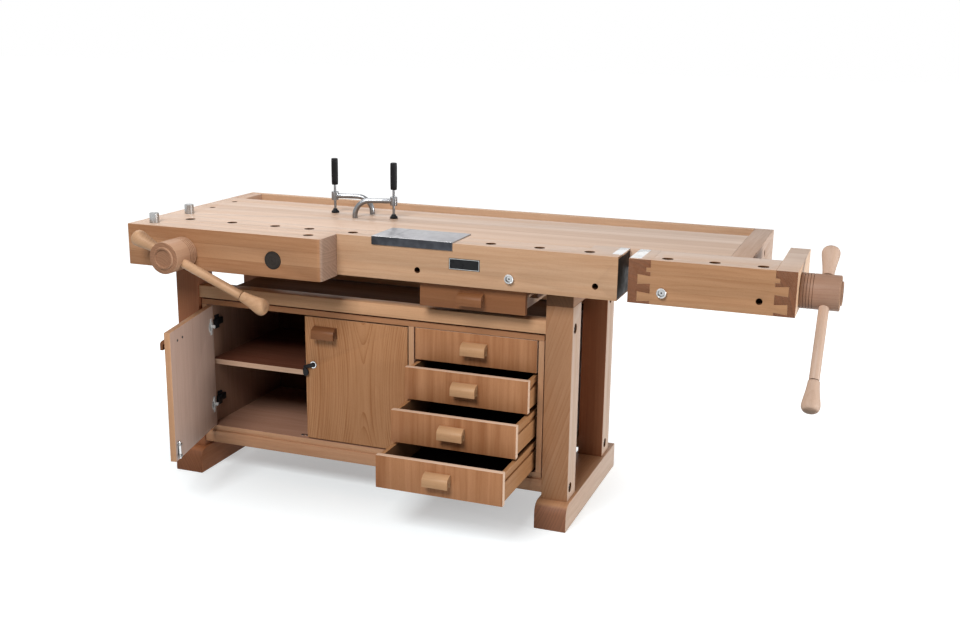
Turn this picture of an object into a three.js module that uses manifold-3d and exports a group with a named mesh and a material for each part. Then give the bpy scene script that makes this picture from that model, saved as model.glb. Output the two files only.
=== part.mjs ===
// A joiner's workbench: a laminated beech top with a tool tray, a front vise and a tail vise,
// two sledge-foot trestles joined by four stretchers, and a cabinet with two doors and four drawers.
// X runs from the bench's left end, Y from the apron's front face to the back, and Z up from the floor.

import * as THREE from 'three';
import { mergeVertices } from 'three/addons/utils/BufferGeometryUtils.js';
import Module from 'manifold-3d';

const wasm = await Module();
wasm.setup();

// Driving dimensions of the top, in millimetres
const topHeight = 860;
const topDepth = 642;
const slabLength = 1832;
const slabThickness = 55;
const endCapWidth = 59;
const apronSetback = 287;
const apronHeight = 125;
const apronDepth = 100;
const apronHeadLength = 105;
const trayWidth = 122;
const trayRailThickness = 27;
const trayRailHeight = 80;
const trayBottomThickness = 12;
const trayLeftEndWidth = 56;

// Bench dogs and their holes
const dogRadius = 15;
const dogRise = 30;
const dogShank = 25;
const dogChamfer = 1.5;
const dogRowY = 43;
const dogLeftStart = 133;
const dogLeftPitch = 154;
const dogLeftCount = 3;
const dogMainFromApronEnd = 984;
const dogMainPitch = 148.5;
const dogMainPlaces = [0, 1, 4, 5, 6];
const crossRowX = 64;
const crossRowStart = 139;
const crossRowPitch = 138.5;
const crossHoleRadius = 10;

// Side pegs and the round holes that they fit, along the front
const pegHeadRadius = 14;
const pegHeadLength = 11;
const pegStemRadius = 8.5;
const pegStemLength = 40;
const pegHoleDepth = 45;
const pegRowBelowTop = 89;
const apronPegFromEnd = 316;
const apronPegHolesFromEnd = [605, 63];
const cheekPegFromJaw = 96;
const cheekPegHoleFromJaw = 359;

// Steel plate on the top and the steel jaw plates
const anvilFromJaw = 117;
const anvilLength = 259;
const anvilDepth = 150;
const anvilLip = 26;
const anvilThickness = 4;
const anvilScoreFromLeft = 62;
const anvilScoreWidth = 1.5;
const anvilScoreDepth = 1;

// Front vise
const jawLength = 676;
const jawThickness = 104;
const jawHeight = 129;
const jawCornerRadius = 14;
const jawHoleFromEnd = 68;
const frontScrewX = 202;
const frontScrewBelowTop = 76;
const frontScrewRear = 340;
const guideX = 514;
const guideRear = 330;
const guideRadius = 15;
const guideCapRadius = 27;
const guideCapThickness = 7;
const guideCapProud = 1.5;
const nutWidth = 80;
const nutDepth = 36;

// Turned hubs, steel screws and sliding handles, alike on both vises
const hubRadius = 49;
const hubLength = 106;
const hubNoseRadius = 33;
const hubNoseLength = 5;
const hubDishRadius = 27;
const hubDishDepth = 7;
const hubGroovePitch = 8;
const hubGrooveStart = 11;
const hubGrooveCount = 4;
const hubGrooveDepth = 2;
const hubGrooveWidth = 3;
const screwRadius = 14;
const screwSocketDepth = 40;
const handleRadius = 14;
const handleHoleFromBase = 67;
const handleLength = 494;
const handleKnobRadius = 25;
const handleKnobLength = 90;
const handleKnobCrown = 20;
const frontHandleSlope = 22.7;
const tailHandleSlope = 50;

// Tail vise
const tailGap = 30;
const tailLength = 455;
const tailHeight = 125;
const tailDepth = 145;
const cheekThickness = 72;
const cheekCoverThickness = 25;
const jawBlockLength = 62;
const armThickness = 57;
const armDepth = 351;
const tailScrewY = 104;
const tailScrewBelowTop = 70;
const tailScrewEndClear = 23;
const tailGuideY = 300;
const tailGuideBelowTop = 76;
const tailGuideRadius = 13;
const tailGuideLength = 420;
const tailGuideSocket = 40;
const tailDogStart = 101;
const tailDogPitch = 129.5;
const tailDogCount = 3;
const tailDogDepth = 72;
const tailNutClear = 5;
const tailNutHeight = 85;
const dovetailFlare = 4;
const dovetailRoot = 20;
const dovetailLength = 36;
const lowerTailRise = 6;
const upperTailRise = 55;
const tongueRise = 91;
const tongueSize = 12;
const capBoltRadius = 11;
const capBoltDepth = 15;
const capBoltY = 428;
const capBoltBelowTop = 37;

// Trestles and stretchers
const leftTrestleX = 93;
const rightTrestleSetback = 469;
const postWidth = 82;
const postDepth = 88;
const frontPostY = 64;
const rearPostY = 475;
const beamFrontHeight = 48;
const footWidth = 100;
const footHeight = 83;
const footFront = 25;
const footBack = 620;
const footToeRadius = 33;
const stretcherHeight = 40;
const stretcherDepth = 50;
const stretcherInset = 6;
const rearStretcherInset = 13;
const lowerStretcherZ = 100;
const upperStretcherDrop = 49;
const stretcherAboveCabinet = 6;
const boltRecessRadius = 12;
const boltRecessDepth = 12;

// Cabinet, doors and drawers
const panel = 18;
const cabinetGap = 3;
const cabinetRightGap = 6.5;
const cabinetFront = 79;
const cabinetBack = 545;
const backPanel = 8;
const doorBayWidth = 722;
const shelfRise = 226;
const shelfSetback = 21;
const frontThickness = 19;
const frontGap = 3;
const doorOpenAngle = 77.5;
const pullWidth = 79;
const pullHeight = 37;
const pullDepth = 29;
const pullFromDoorEdge = 34;
const pullBelowDoorTop = 47;
const pullGrooveDepth = 19;
const lockFromEdge = 27;
const lockBelowDoorTop = 159;
const lockRadius = 9;
const lockRimRadius = 11.5;
const lockRimProud = 2.5;
const lockCamLength = 42;
const lockCamWidth = 14;
const lockCamThickness = 3;
const doorBoltRadius = 4;
const doorBoltLength = 55;
const doorBoltFromEdge = 21;
const doorBoltRise = 5;
const doorBoltThrow = 12;
const drawerCount = 4;
const drawerPulledOut = [0, 79, 182, 291];
const drawerLength = 400;
const drawerWall = 12;
const drawerFloor = 7;
const drawerEndGap = 1.5;
const drawerGap = 3.7;
const drawerFrontSideGap = 4.3;
const drawerBoxSideGap = 6.3;
const drawerSideBelowFront = 6;
const drawerSideAboveFront = 8;
const drawerPullRise = 4;
const runnerHeight = 10;
const runnerIntoSide = 5;
const runnerBelowFrontTop = 29;
const runnerFromFront = 21;
const runnerPlay = 0.8;

// Drawer hung under the top
const hungFromTrestle = 423;
const hungWidth = 332;
const hungFront = 20;
const hungBelowApron = 3;
const hungHeight = 72;
const hungLength = 392;
const hungInset = 15;
const hungFlangeBelowTop = 16;
const hungFlangeThickness = 8;
const hangerBoard = 12;
const hangerLedge = 12;
const hangerLength = 339;

// Hold-downs: a bent steel arm with a clamping screw
const holdDownReach = 127;
const holdDownBarRadius = 8.5;
const holdDownArmRise = 57;
const holdDownBend = 32;
const holdDownTail = 22;
const holdDownBossRadius = 12;
const holdDownBossHeight = 28;
const holdDownScrewRadius = 5;
const holdDownPadRadius = 13;
const holdDownPadHeight = 14;
const holdDownGripRadius = 9.2;
const holdDownGripLength = 88;
const holdDownGripRise = 93;
const leftHoldDownX = 614;
const leftHoldDownY = 380;
const leftHoldDownTurn = 190.9;
const rightHoldDownX = 595;
const rightHoldDownY = 289;
const rightHoldDownTurn = 17.8;

// Clearances and facet counts
const touchGap = 0.3;
const runningGap = 0.5;
const overlapForJoin = 1;
const cutPast = 2;
const roundSides = 24;
const holeSides = 20;
const hubSides = 32;
const knobSteps = 4;
const bendSteps = 30;
const bendSides = 8;
const circleHandle = 0.5523;
const mergeTolerance = 1e-4;

// Places worked out from the driving dimensions
const slabBottom = topHeight - slabThickness;
const apronLength = slabLength - apronSetback;
const dogMainStart = apronLength - dogMainFromApronEnd;
const anvilLeft = jawLength + anvilFromJaw;
const apronPegX = apronLength - apronPegFromEnd;
const apronPegHoles = apronPegHolesFromEnd.map((setback) => apronLength - setback);
const rightTrestleX = slabLength - rightTrestleSetback;
const hungLeft = rightTrestleX - hungFromTrestle;
const pegRowZ = topHeight - pegRowBelowTop;
const frontScrewZ = topHeight - frontScrewBelowTop;
const tailScrewZ = topHeight - tailScrewBelowTop;
const tailGuideZ = topHeight - tailGuideBelowTop;
const apronBottom = topHeight - apronHeight;
const trayFront = topDepth - trayRailThickness - trayWidth;
const trayBack = topDepth - trayRailThickness;
const trayFloor = slabBottom + trayBottomThickness;
const endCapRight = slabLength + endCapWidth;
const jawBottom = topHeight - jawHeight;
const tailLeft = apronLength + tailGap;
const tailRight = tailLeft + tailLength;
const tailBottom = topHeight - tailHeight;
const armLeft = tailRight - armThickness;
const jawBlockRight = tailLeft + jawBlockLength;
const tailScrewLength = tailLength - jawBlockLength - tailScrewEndClear;
const tailHubEnd = tailRight + touchGap + hubLength + hubNoseLength;
const postTop = apronBottom - beamFrontHeight;
const upperStretcherZ = postTop - upperStretcherDrop - stretcherHeight;
const leftPostRight = leftTrestleX + postWidth / 2;
const rightPostLeft = rightTrestleX - postWidth / 2;
const frontStretcherY = frontPostY + stretcherInset;
const rearStretcherY = rearPostY + rearStretcherInset;
const cabinetLeft = leftPostRight + cabinetGap;
const cabinetRight = rightPostLeft - cabinetRightGap;
const cabinetBottom = lowerStretcherZ + stretcherHeight;
const cabinetTop = upperStretcherZ - stretcherAboveCabinet;
const bayLeft = cabinetLeft + panel;
const dividerLeft = bayLeft + doorBayWidth;
const drawerBayLeft = dividerLeft + panel;
const drawerBayRight = cabinetRight - panel;
const bayBottom = cabinetBottom + panel;
const bayTop = cabinetTop - panel;
const bayBack = cabinetBack - backPanel;
const shelfTop = bayBottom + shelfRise;
const doorWidth = (doorBayWidth - frontGap) / 2 - touchGap;
const doorBottom = bayBottom + frontGap;
const doorTop = bayTop - frontGap;
const lockZ = doorTop - lockBelowDoorTop;
const doorSwing = THREE.MathUtils.degToRad(doorOpenAngle);
const leftDoorFreeEdgeY = cabinetFront - doorWidth * Math.sin(doorSwing);
const drawerFrontsHeight = bayTop - bayBottom - 2 * drawerEndGap - (drawerCount - 1) * drawerGap;
const drawerFrontHeight = drawerFrontsHeight / drawerCount;
const drawerTops = Array.from({ length: drawerCount }, (_, row) => {
  return bayTop - drawerEndGap - row * (drawerFrontHeight + drawerGap);
});

const holdDowns = [
  { name: 'left_hold_down', x: leftHoldDownX, y: leftHoldDownY, turn: leftHoldDownTurn },
  { name: 'right_hold_down', x: rightHoldDownX, y: rightHoldDownY, turn: rightHoldDownTurn },
];

// The origin is on the floor at the middle of the part's box
const originX = tailHubEnd / 2;
const originY = (topDepth + leftDoorFreeEdgeY) / 2;

// Materials
function finish(colour, roughness, metalness) {
  return new THREE.MeshStandardMaterial({ color: colour, roughness, metalness });
}
const beech = finish(0xc9986b, 0.55, 0);
const darkBeech = finish(0xb07c50, 0.55, 0);
const veneer = finish(0xbe8a5a, 0.5, 0);
const paleBeech = finish(0xd8ad80, 0.5, 0);
const steel = finish(0xc4c6c8, 0.3, 1);
const darkSteel = finish(0x4a4a4c, 0.45, 1);
const blackGrip = finish(0x18181a, 0.5, 0);

// Solids are closed meshes with merged corners and no flat triangles
function solid(geometry) {
  const bare = geometry.clone();
  bare.deleteAttribute('normal');
  bare.deleteAttribute('uv');
  const merged = mergeVertices(bare, mergeTolerance);
  const places = merged.attributes.position.array;
  const index = merged.index.array;
  const corners = [];
  const [a, b, c] = [new THREE.Vector3(), new THREE.Vector3(), new THREE.Vector3()];
  let volume = 0;
  for (let i = 0; i < index.length; i += 3) {
    const [p, q, r] = index.slice(i, i + 3);
    if (p === q || q === r || r === p) continue;
    corners.push(p, q, r);
    a.fromArray(places, 3 * p);
    b.fromArray(places, 3 * q);
    c.fromArray(places, 3 * r);
    volume += a.dot(b.cross(c));
  }
  if (volume < 0) corners.reverse();
  const mesh = new wasm.Mesh({
    numProp: 3,
    vertProperties: Float32Array.from(places),
    triVerts: Uint32Array.from(corners),
  });
  return new wasm.Manifold(mesh);
}

function box(x0, x1, y0, y1, z0, z1) {
  const block = new THREE.BoxGeometry(x1 - x0, y1 - y0, z1 - z0);
  block.translate((x0 + x1) / 2, (y0 + y1) / 2, (z0 + z1) / 2);
  return solid(block);
}

function outline(points) {
  return new THREE.Shape(points.map(([u, v]) => new THREE.Vector2(u, v)));
}

function extruded(shape, length, xAxis, yAxis, zAxis, start) {
  const prism = new THREE.ExtrudeGeometry(shape, { depth: length, bevelEnabled: false, curveSegments: 6 });
  const place = new THREE.Matrix4().makeBasis(xAxis, yAxis, zAxis).setPosition(start);
  return solid(prism.applyMatrix4(place));
}

const alongX = new THREE.Vector3(1, 0, 0);
const alongY = new THREE.Vector3(0, 1, 0);
const alongZ = new THREE.Vector3(0, 0, 1);

// A prism over an outline in (x, y), (y, z) or (x, z)
function prismZ(shape, z0, z1) {
  return extruded(shape, z1 - z0, alongX, alongY, alongZ, new THREE.Vector3(0, 0, z0));
}
function prismX(shape, x0, x1) {
  return extruded(shape, x1 - x0, alongY, alongZ, alongX, new THREE.Vector3(x0, 0, 0));
}
function prismY(shape, y0, y1) {
  return extruded(shape, y1 - y0, alongX, alongZ, alongY.clone().negate(), new THREE.Vector3(0, y1, 0));
}

// A round bar along one axis
function barZ(x, y, radius, z0, z1, sides = roundSides) {
  const bar = new THREE.CylinderGeometry(radius, radius, z1 - z0, sides).rotateX(Math.PI / 2);
  return solid(bar.translate(x, y, (z0 + z1) / 2));
}
function barY(x, z, radius, y0, y1, sides = roundSides) {
  const bar = new THREE.CylinderGeometry(radius, radius, y1 - y0, sides);
  return solid(bar.translate(x, (y0 + y1) / 2, z));
}
function barX(y, z, radius, x0, x1, sides = roundSides) {
  const bar = new THREE.CylinderGeometry(radius, radius, x1 - x0, sides).rotateZ(-Math.PI / 2);
  return solid(bar.translate((x0 + x1) / 2, y, z));
}

// A turned form about Z from a profile of [radius, height] points
function turned(profile, sides = roundSides) {
  const points = profile.map(([radius, height]) => new THREE.Vector2(radius, height));
  return solid(new THREE.LatheGeometry(points, sides).rotateX(Math.PI / 2));
}

function cut(body, ...tools) {
  return tools.reduce((rest, tool) => rest.subtract(tool), body);
}
function join(body, ...others) {
  return others.reduce((whole, other) => whole.add(other), body);
}

const bench = new THREE.Group();
bench.position.set(-originX, -originY, 0);

function add(name, body, material, parent = bench) {
  const { vertProperties, triVerts } = body.getMesh();
  const geometry = new THREE.BufferGeometry();
  geometry.setAttribute('position', new THREE.BufferAttribute(Float32Array.from(vertProperties), 3));
  geometry.setIndex(Array.from(triVerts));
  const faceted = geometry.toNonIndexed();
  faceted.computeVertexNormals();
  const mesh = new THREE.Mesh(faceted, material);
  mesh.name = name;
  parent.add(mesh);
  return mesh;
}

function dogHole(x, y, depth) {
  return barZ(x, y, dogRadius + runningGap, topHeight - depth, topHeight + cutPast, holeSides);
}
function pegHole(x) {
  return barY(x, pegRowZ, pegStemRadius + runningGap, -cutPast, pegHoleDepth, holeSides);
}

// Laminated top slab, set back at its right front corner for the tail vise
const apronHeadLeft = apronLength - apronHeadLength;
const slabOutline = outline([
  [0, apronDepth],
  [apronHeadLeft, apronDepth],
  [apronHeadLeft, tailDepth],
  [slabLength, tailDepth],
  [slabLength, trayFront],
  [0, trayFront],
]);
const crossRow = [1, 2].map((step) => crossRowStart + step * crossRowPitch);
const holdDownHoles = holdDowns.map(({ x, y }) => {
  return barZ(x, y, holdDownBarRadius + runningGap, slabBottom - cutPast, topHeight + cutPast, holeSides);
});
const crossHoles = crossRow.map((y) => {
  return barZ(crossRowX, y, crossHoleRadius, slabBottom - cutPast, topHeight + cutPast, holeSides);
});
const topDogHole = dogHole(crossRowX, crossRowStart, slabThickness + cutPast);
const slab = prismZ(slabOutline, slabBottom, topHeight);
add('bench_top', cut(slab, topDogHole, ...crossHoles, ...holdDownHoles), beech);

// Apron: the deep front beam with the dog holes, wider at its right end where the tail vise closes on it
const apronOutline = outline([
  [0, 0],
  [apronLength, 0],
  [apronLength, tailDepth],
  [apronHeadLeft, tailDepth],
  [apronHeadLeft, apronDepth],
  [0, apronDepth],
]);
const dogLeftRow = Array.from({ length: dogLeftCount }, (_, step) => dogLeftStart + step * dogLeftPitch);
const dogMainRow = dogMainPlaces.map((place) => dogMainStart + place * dogMainPitch);
const apronDogHoles = [...dogLeftRow, ...dogMainRow].map((x) => dogHole(x, dogRowY, apronHeight + cutPast));
const apronPegBores = [...apronPegHoles, apronPegX].map(pegHole);
const apronBack = apronDepth + cutPast;
const apronScrewHole = barY(frontScrewX, frontScrewZ, screwRadius + runningGap, -cutPast, apronBack);
const apronGuideHole = barY(guideX, frontScrewZ, guideRadius + runningGap, -cutPast, apronBack);
add(
  'front_apron',
  cut(
    prismZ(apronOutline, apronBottom, topHeight),
    ...apronDogHoles,
    ...apronPegBores,
    apronScrewHole,
    apronGuideHole,
  ),
  beech,
);

// Right end cap, tongued over the slab's end, with a bolt recess and a hole for the tail vise's guide bar
const capBolt = barX(
  capBoltY,
  topHeight - capBoltBelowTop,
  capBoltRadius,
  endCapRight - capBoltDepth,
  endCapRight + cutPast,
  holeSides,
);
const capGuideHole = barX(
  tailGuideY,
  tailGuideZ,
  tailGuideRadius + runningGap,
  slabLength - cutPast,
  endCapRight + cutPast,
);
const endCap = box(slabLength, endCapRight, tailDepth, topDepth, apronBottom, topHeight);
add('right_end_cap', cut(endCap, capBolt, capGuideHole), darkBeech);

// Tool tray along the back: floor, left end block and back rail
add('tray_bottom', box(0, slabLength, trayFront, trayBack, slabBottom, trayFloor), beech);
add('tray_left_end', box(0, trayLeftEndWidth, trayFront, trayBack, trayFloor, topHeight), beech);
add('tray_back_rail', box(0, slabLength, trayBack, topDepth, topHeight - trayRailHeight, topHeight), beech);

// Steel plate on the top with a lip over the apron's front and a scored line near its left end
const anvilTop = topHeight + anvilThickness;
const anvilOutline = outline([
  [-anvilThickness, topHeight + anvilThickness - anvilLip],
  [0, topHeight + anvilThickness - anvilLip],
  [0, topHeight],
  [anvilDepth, topHeight],
  [anvilDepth, anvilTop],
  [-anvilThickness, anvilTop],
]);
const scoreLeft = anvilLeft + anvilScoreFromLeft;
const anvilScore = box(
  scoreLeft,
  scoreLeft + anvilScoreWidth,
  -anvilThickness - cutPast,
  anvilDepth + cutPast,
  anvilTop - anvilScoreDepth,
  anvilTop + cutPast,
);
add('anvil_plate', cut(prismX(anvilOutline, anvilLeft, anvilLeft + anvilLength), anvilScore), steel);

// Trestles: a sledge foot with a rounded toe, two posts with bolt recesses, and a beam notched for the apron
const footOutline = new THREE.Shape();
footOutline.moveTo(footFront, 0);
footOutline.lineTo(footBack, 0);
footOutline.lineTo(footBack, footHeight);
const toeY = footFront + footToeRadius;
footOutline.lineTo(toeY, footHeight);
footOutline.absarc(toeY, footHeight - footToeRadius, footToeRadius, Math.PI / 2, Math.PI);
const beamOutline = outline([
  [frontPostY, postTop],
  [rearPostY + postDepth, postTop],
  [rearPostY + postDepth, slabBottom],
  [apronDepth + touchGap, slabBottom],
  [apronDepth + touchGap, apronBottom],
  [frontPostY, apronBottom],
]);
const stretcherMiddles = [lowerStretcherZ, upperStretcherZ].map((z) => z + stretcherHeight / 2);

function addTrestle(side, x, outward) {
  add(`${side}_foot`, prismX(footOutline, x - footWidth / 2, x + footWidth / 2), darkBeech);
  const posts = [
    ['front', frontPostY, frontStretcherY],
    ['rear', rearPostY, rearStretcherY],
  ];
  for (const [place, y, stretcherY] of posts) {
    const post = box(x - postWidth / 2, x + postWidth / 2, y, y + postDepth, footHeight, postTop);
    const outer = x + (outward * postWidth) / 2;
    const ends = [outer - outward * boltRecessDepth, outer + outward * cutPast].sort((a, b) => a - b);
    const recesses = stretcherMiddles.map((z) => {
      return barX(stretcherY + stretcherDepth / 2, z, boltRecessRadius, ...ends, holeSides);
    });
    add(`${side}_${place}_post`, cut(post, ...recesses), beech);
  }
  add(`${side}_top_beam`, prismX(beamOutline, x - postWidth / 2, x + postWidth / 2), darkBeech);
}
addTrestle('left', leftTrestleX, -1);
addTrestle('right', rightTrestleX, 1);

// Stretchers bolted between the posts
const stretchers = [
  ['front_upper_stretcher', frontStretcherY, upperStretcherZ],
  ['front_lower_stretcher', frontStretcherY, lowerStretcherZ],
  ['rear_upper_stretcher', rearStretcherY, upperStretcherZ],
  ['rear_lower_stretcher', rearStretcherY, lowerStretcherZ],
];
for (const [name, y, z] of stretchers) {
  add(name, box(leftPostRight, rightPostLeft, y, y + stretcherDepth, z, z + stretcherHeight), beech);
}

// Cabinet carcass standing on the lower stretchers
const boltSlotX = bayLeft + touchGap + doorWidth - doorBoltFromEdge;
const boltSlotY = cabinetFront + frontThickness + touchGap + doorBoltRadius;
const boltSlot = barZ(
  boltSlotX,
  boltSlotY,
  doorBoltRadius + runningGap,
  bayBottom - doorBoltThrow,
  bayBottom + cutPast,
  holeSides,
);
const cabinetFloor = box(cabinetLeft, cabinetRight, cabinetFront, bayBack, cabinetBottom, bayBottom);
add('cabinet_bottom', cut(cabinetFloor, boltSlot), veneer);
add('cabinet_top', box(cabinetLeft, cabinetRight, cabinetFront, bayBack, bayTop, cabinetTop), veneer);
add('cabinet_left_side', box(cabinetLeft, bayLeft, cabinetFront, bayBack, bayBottom, bayTop), veneer);
const runnerReach = drawerBoxSideGap + runnerIntoSide;
function runners(x0, x1) {
  return drawerTops.map((top) => {
    const middle = top - runnerBelowFrontTop;
    const front = cabinetFront + runnerFromFront;
    return box(x0, x1, front, bayBack, middle - runnerHeight / 2, middle + runnerHeight / 2);
  });
}
const rightSideBoard = box(drawerBayRight, cabinetRight, cabinetFront, bayBack, bayBottom, bayTop);
const rightRunners = runners(drawerBayRight - runnerReach, drawerBayRight + overlapForJoin);
add('cabinet_right_side', join(rightSideBoard, ...rightRunners), veneer);
const dividerBoard = box(dividerLeft, drawerBayLeft, cabinetFront, bayBack, bayBottom, bayTop);
const dividerRunners = runners(drawerBayLeft - overlapForJoin, drawerBayLeft + runnerReach);
add('cabinet_divider', join(dividerBoard, ...dividerRunners), veneer);
add('cabinet_back', box(cabinetLeft, cabinetRight, bayBack, cabinetBack, cabinetBottom, cabinetTop), veneer);
const shelfFront = cabinetFront + shelfSetback;
add('cabinet_shelf', box(bayLeft, dividerLeft, shelfFront, bayBack, shelfTop - panel, shelfTop), veneer);

// Wooden pull: a block with a rounded front and a finger groove from below, outward along -Y
function pull(x, y, z) {
  const side = new THREE.Shape();
  const top = z + pullHeight / 2;
  const bottom = z - pullHeight / 2;
  const lip = pullDepth / 3;
  side.moveTo(y + overlapForJoin, top);
  side.lineTo(y + overlapForJoin, bottom);
  side.lineTo(y - lip / 2, bottom);
  side.lineTo(y - lip / 2, bottom + pullGrooveDepth);
  side.lineTo(y - pullDepth + lip, bottom + pullGrooveDepth);
  side.lineTo(y - pullDepth + lip, bottom);
  side.lineTo(y - pullDepth, bottom);
  side.lineTo(y - pullDepth, z);
  side.absellipse(y, z, pullDepth, pullHeight / 2, Math.PI, Math.PI / 2, true);
  return prismX(side, x - pullWidth / 2, x + pullWidth / 2);
}

// Left door, standing open on its hinge edge, with a flush bolt on its inner face
const leftDoor = new THREE.Group();
leftDoor.position.set(bayLeft + touchGap, cabinetFront, 0);
leftDoor.rotation.z = -doorSwing;
bench.add(leftDoor);
const doorPullX = doorWidth - pullFromDoorEdge - pullWidth / 2;
const doorPullZ = doorTop - pullBelowDoorTop;
const doorBoard = box(0, doorWidth, 0, frontThickness, doorBottom, doorTop);
add('left_door', join(doorBoard, pull(doorPullX, 0, doorPullZ)), veneer, leftDoor);
const boltZ = doorBottom + doorBoltRise;
const boltY = frontThickness + touchGap + doorBoltRadius;
const boltX = doorWidth - doorBoltFromEdge;
const boltBar = barZ(boltX, boltY, doorBoltRadius, boltZ, boltZ + doorBoltLength, holeSides);
add('door_bolt', boltBar, steel, leftDoor);

// Right door, closed, with a cam lock near its free edge
const rightDoorRight = dividerLeft - touchGap;
const rightDoorLeft = rightDoorRight - doorWidth;
const lockX = rightDoorLeft + lockFromEdge;
const lockHole = barY(
  lockX,
  lockZ,
  lockRadius + runningGap,
  cabinetFront - cutPast,
  cabinetFront + frontThickness + cutPast,
);
const rightBoard = box(
  rightDoorLeft,
  rightDoorRight,
  cabinetFront,
  cabinetFront + frontThickness,
  doorBottom,
  doorTop,
);
const rightPull = pull(rightDoorLeft + pullFromDoorEdge + pullWidth / 2, cabinetFront, doorPullZ);
add('right_door', cut(join(rightBoard, rightPull), lockHole), veneer);
const camFront = cabinetFront + frontThickness + touchGap;
const camBack = camFront + lockCamThickness;
const lockBarrel = barY(lockX, lockZ, lockRadius, cabinetFront - lockRimProud, camBack);
const lockRim = barY(lockX, lockZ, lockRimRadius, cabinetFront - lockRimProud, cabinetFront - touchGap);
const lockCam = box(
  lockX - lockCamLength,
  lockX + lockRadius,
  camFront,
  camBack,
  lockZ - lockCamWidth / 2,
  lockZ + lockCamWidth / 2,
);
add('door_lock', join(lockBarrel, lockRim, lockCam), steel);

// An open box with a front board and a pull, which slides on flanges on its sides or on grooves cut in them
function drawer(shape) {
  const { left, right, front, bottom, top, length, pullRise, flanges, grooves } = shape;
  const { boxLeft, boxRight, boxBottom, boxTop } = shape;
  const board = box(left, right, front, front + frontThickness, bottom, top);
  const boxFront = front + frontThickness;
  const boxBack = boxFront + length;
  const tray = cut(
    box(boxLeft, boxRight, boxFront - overlapForJoin, boxBack, boxBottom, boxTop),
    box(
      boxLeft + drawerWall,
      boxRight - drawerWall,
      boxFront,
      boxBack - drawerWall,
      boxBottom + drawerFloor,
      boxTop + cutPast,
    ),
  );
  const handle = pull((left + right) / 2, front, (bottom + top) / 2 + pullRise);
  return join(board, cut(tray, ...grooves(boxFront, boxBack)), ...flanges(boxFront, boxBack), handle);
}

// Four drawers in the right bay, each pulled out by its own amount on the carcass's runners
const grooveDepth = runnerIntoSide + runnerPlay;
for (let row = 0; row < drawerCount; row += 1) {
  const top = drawerTops[row];
  const bottom = top - drawerFrontHeight;
  const boxLeft = drawerBayLeft + drawerBoxSideGap;
  const boxRight = drawerBayRight - drawerBoxSideGap;
  const grooveTop = top - runnerBelowFrontTop + runnerHeight / 2 + runningGap;
  const grooveBottom = grooveTop - runnerHeight - 2 * runningGap;
  const grooves = (front, back) => [
    box(boxLeft - cutPast, boxLeft + grooveDepth, front, back + cutPast, grooveBottom, grooveTop),
    box(boxRight - grooveDepth, boxRight + cutPast, front, back + cutPast, grooveBottom, grooveTop),
  ];
  const body = drawer({
    left: drawerBayLeft + drawerFrontSideGap,
    right: drawerBayRight - drawerFrontSideGap,
    front: cabinetFront - drawerPulledOut[row],
    bottom,
    top,
    boxLeft,
    boxRight,
    boxBottom: bottom + drawerSideAboveFront,
    boxTop: top - drawerSideBelowFront,
    length: drawerLength,
    flanges: () => [],
    grooves,
    pullRise: drawerPullRise,
  });
  add(`drawer_${row + 1}`, body, veneer);
}

// Shallow drawer hung under the top, and the hanger with ledges that carries its side flanges
const hungRight = hungLeft + hungWidth;
const hungTop = apronBottom - hungBelowApron;
const hungBottom = hungTop - hungHeight;
const hungBoxLeft = hungLeft + hungInset;
const hungBoxRight = hungRight - hungInset;
const flangeTop = hungTop - hungFlangeBelowTop;
const flangeBottom = flangeTop - hungFlangeThickness;
const ledgeTop = flangeBottom - touchGap;
const hungFlanges = (front, back) => [
  box(hungLeft, hungBoxLeft + overlapForJoin, front + drawerWall, back, flangeBottom, flangeTop),
  box(hungBoxRight - overlapForJoin, hungRight, front + drawerWall, back, flangeBottom, flangeTop),
];
const hungDrawer = drawer({
  left: hungLeft,
  right: hungRight,
  front: hungFront,
  bottom: hungBottom,
  top: hungTop,
  boxLeft: hungBoxLeft,
  boxRight: hungBoxRight,
  boxBottom: hungBottom + drawerSideBelowFront,
  boxTop: hungTop - drawerSideBelowFront,
  length: hungLength,
  flanges: hungFlanges,
  grooves: () => [],
  pullRise: 0,
});
add('upper_drawer', hungDrawer, paleBeech);
const hangerInnerLeft = hungLeft - touchGap;
const hangerInnerRight = hungRight + touchGap;
const hangerOuterLeft = hangerInnerLeft - hangerBoard;
const hangerOuterRight = hangerInnerRight + hangerBoard;
const hangerBottom = ledgeTop - hangerLedge;
const ledgeReach = hungInset - touchGap - runningGap;
const hangerOutline = outline([
  [hangerOuterLeft, hangerBottom],
  [hangerInnerLeft + ledgeReach, hangerBottom],
  [hangerInnerLeft + ledgeReach, ledgeTop],
  [hangerInnerLeft, ledgeTop],
  [hangerInnerLeft, slabBottom - hangerBoard],
  [hangerInnerRight, slabBottom - hangerBoard],
  [hangerInnerRight, ledgeTop],
  [hangerInnerRight - ledgeReach, ledgeTop],
  [hangerInnerRight - ledgeReach, hangerBottom],
  [hangerOuterRight, hangerBottom],
  [hangerOuterRight, slabBottom],
  [hangerOuterLeft, slabBottom],
]);
const hangerFront = apronDepth;
add('upper_drawer_hanger', prismY(hangerOutline, hangerFront, hangerFront + hangerLength), darkBeech);

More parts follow.
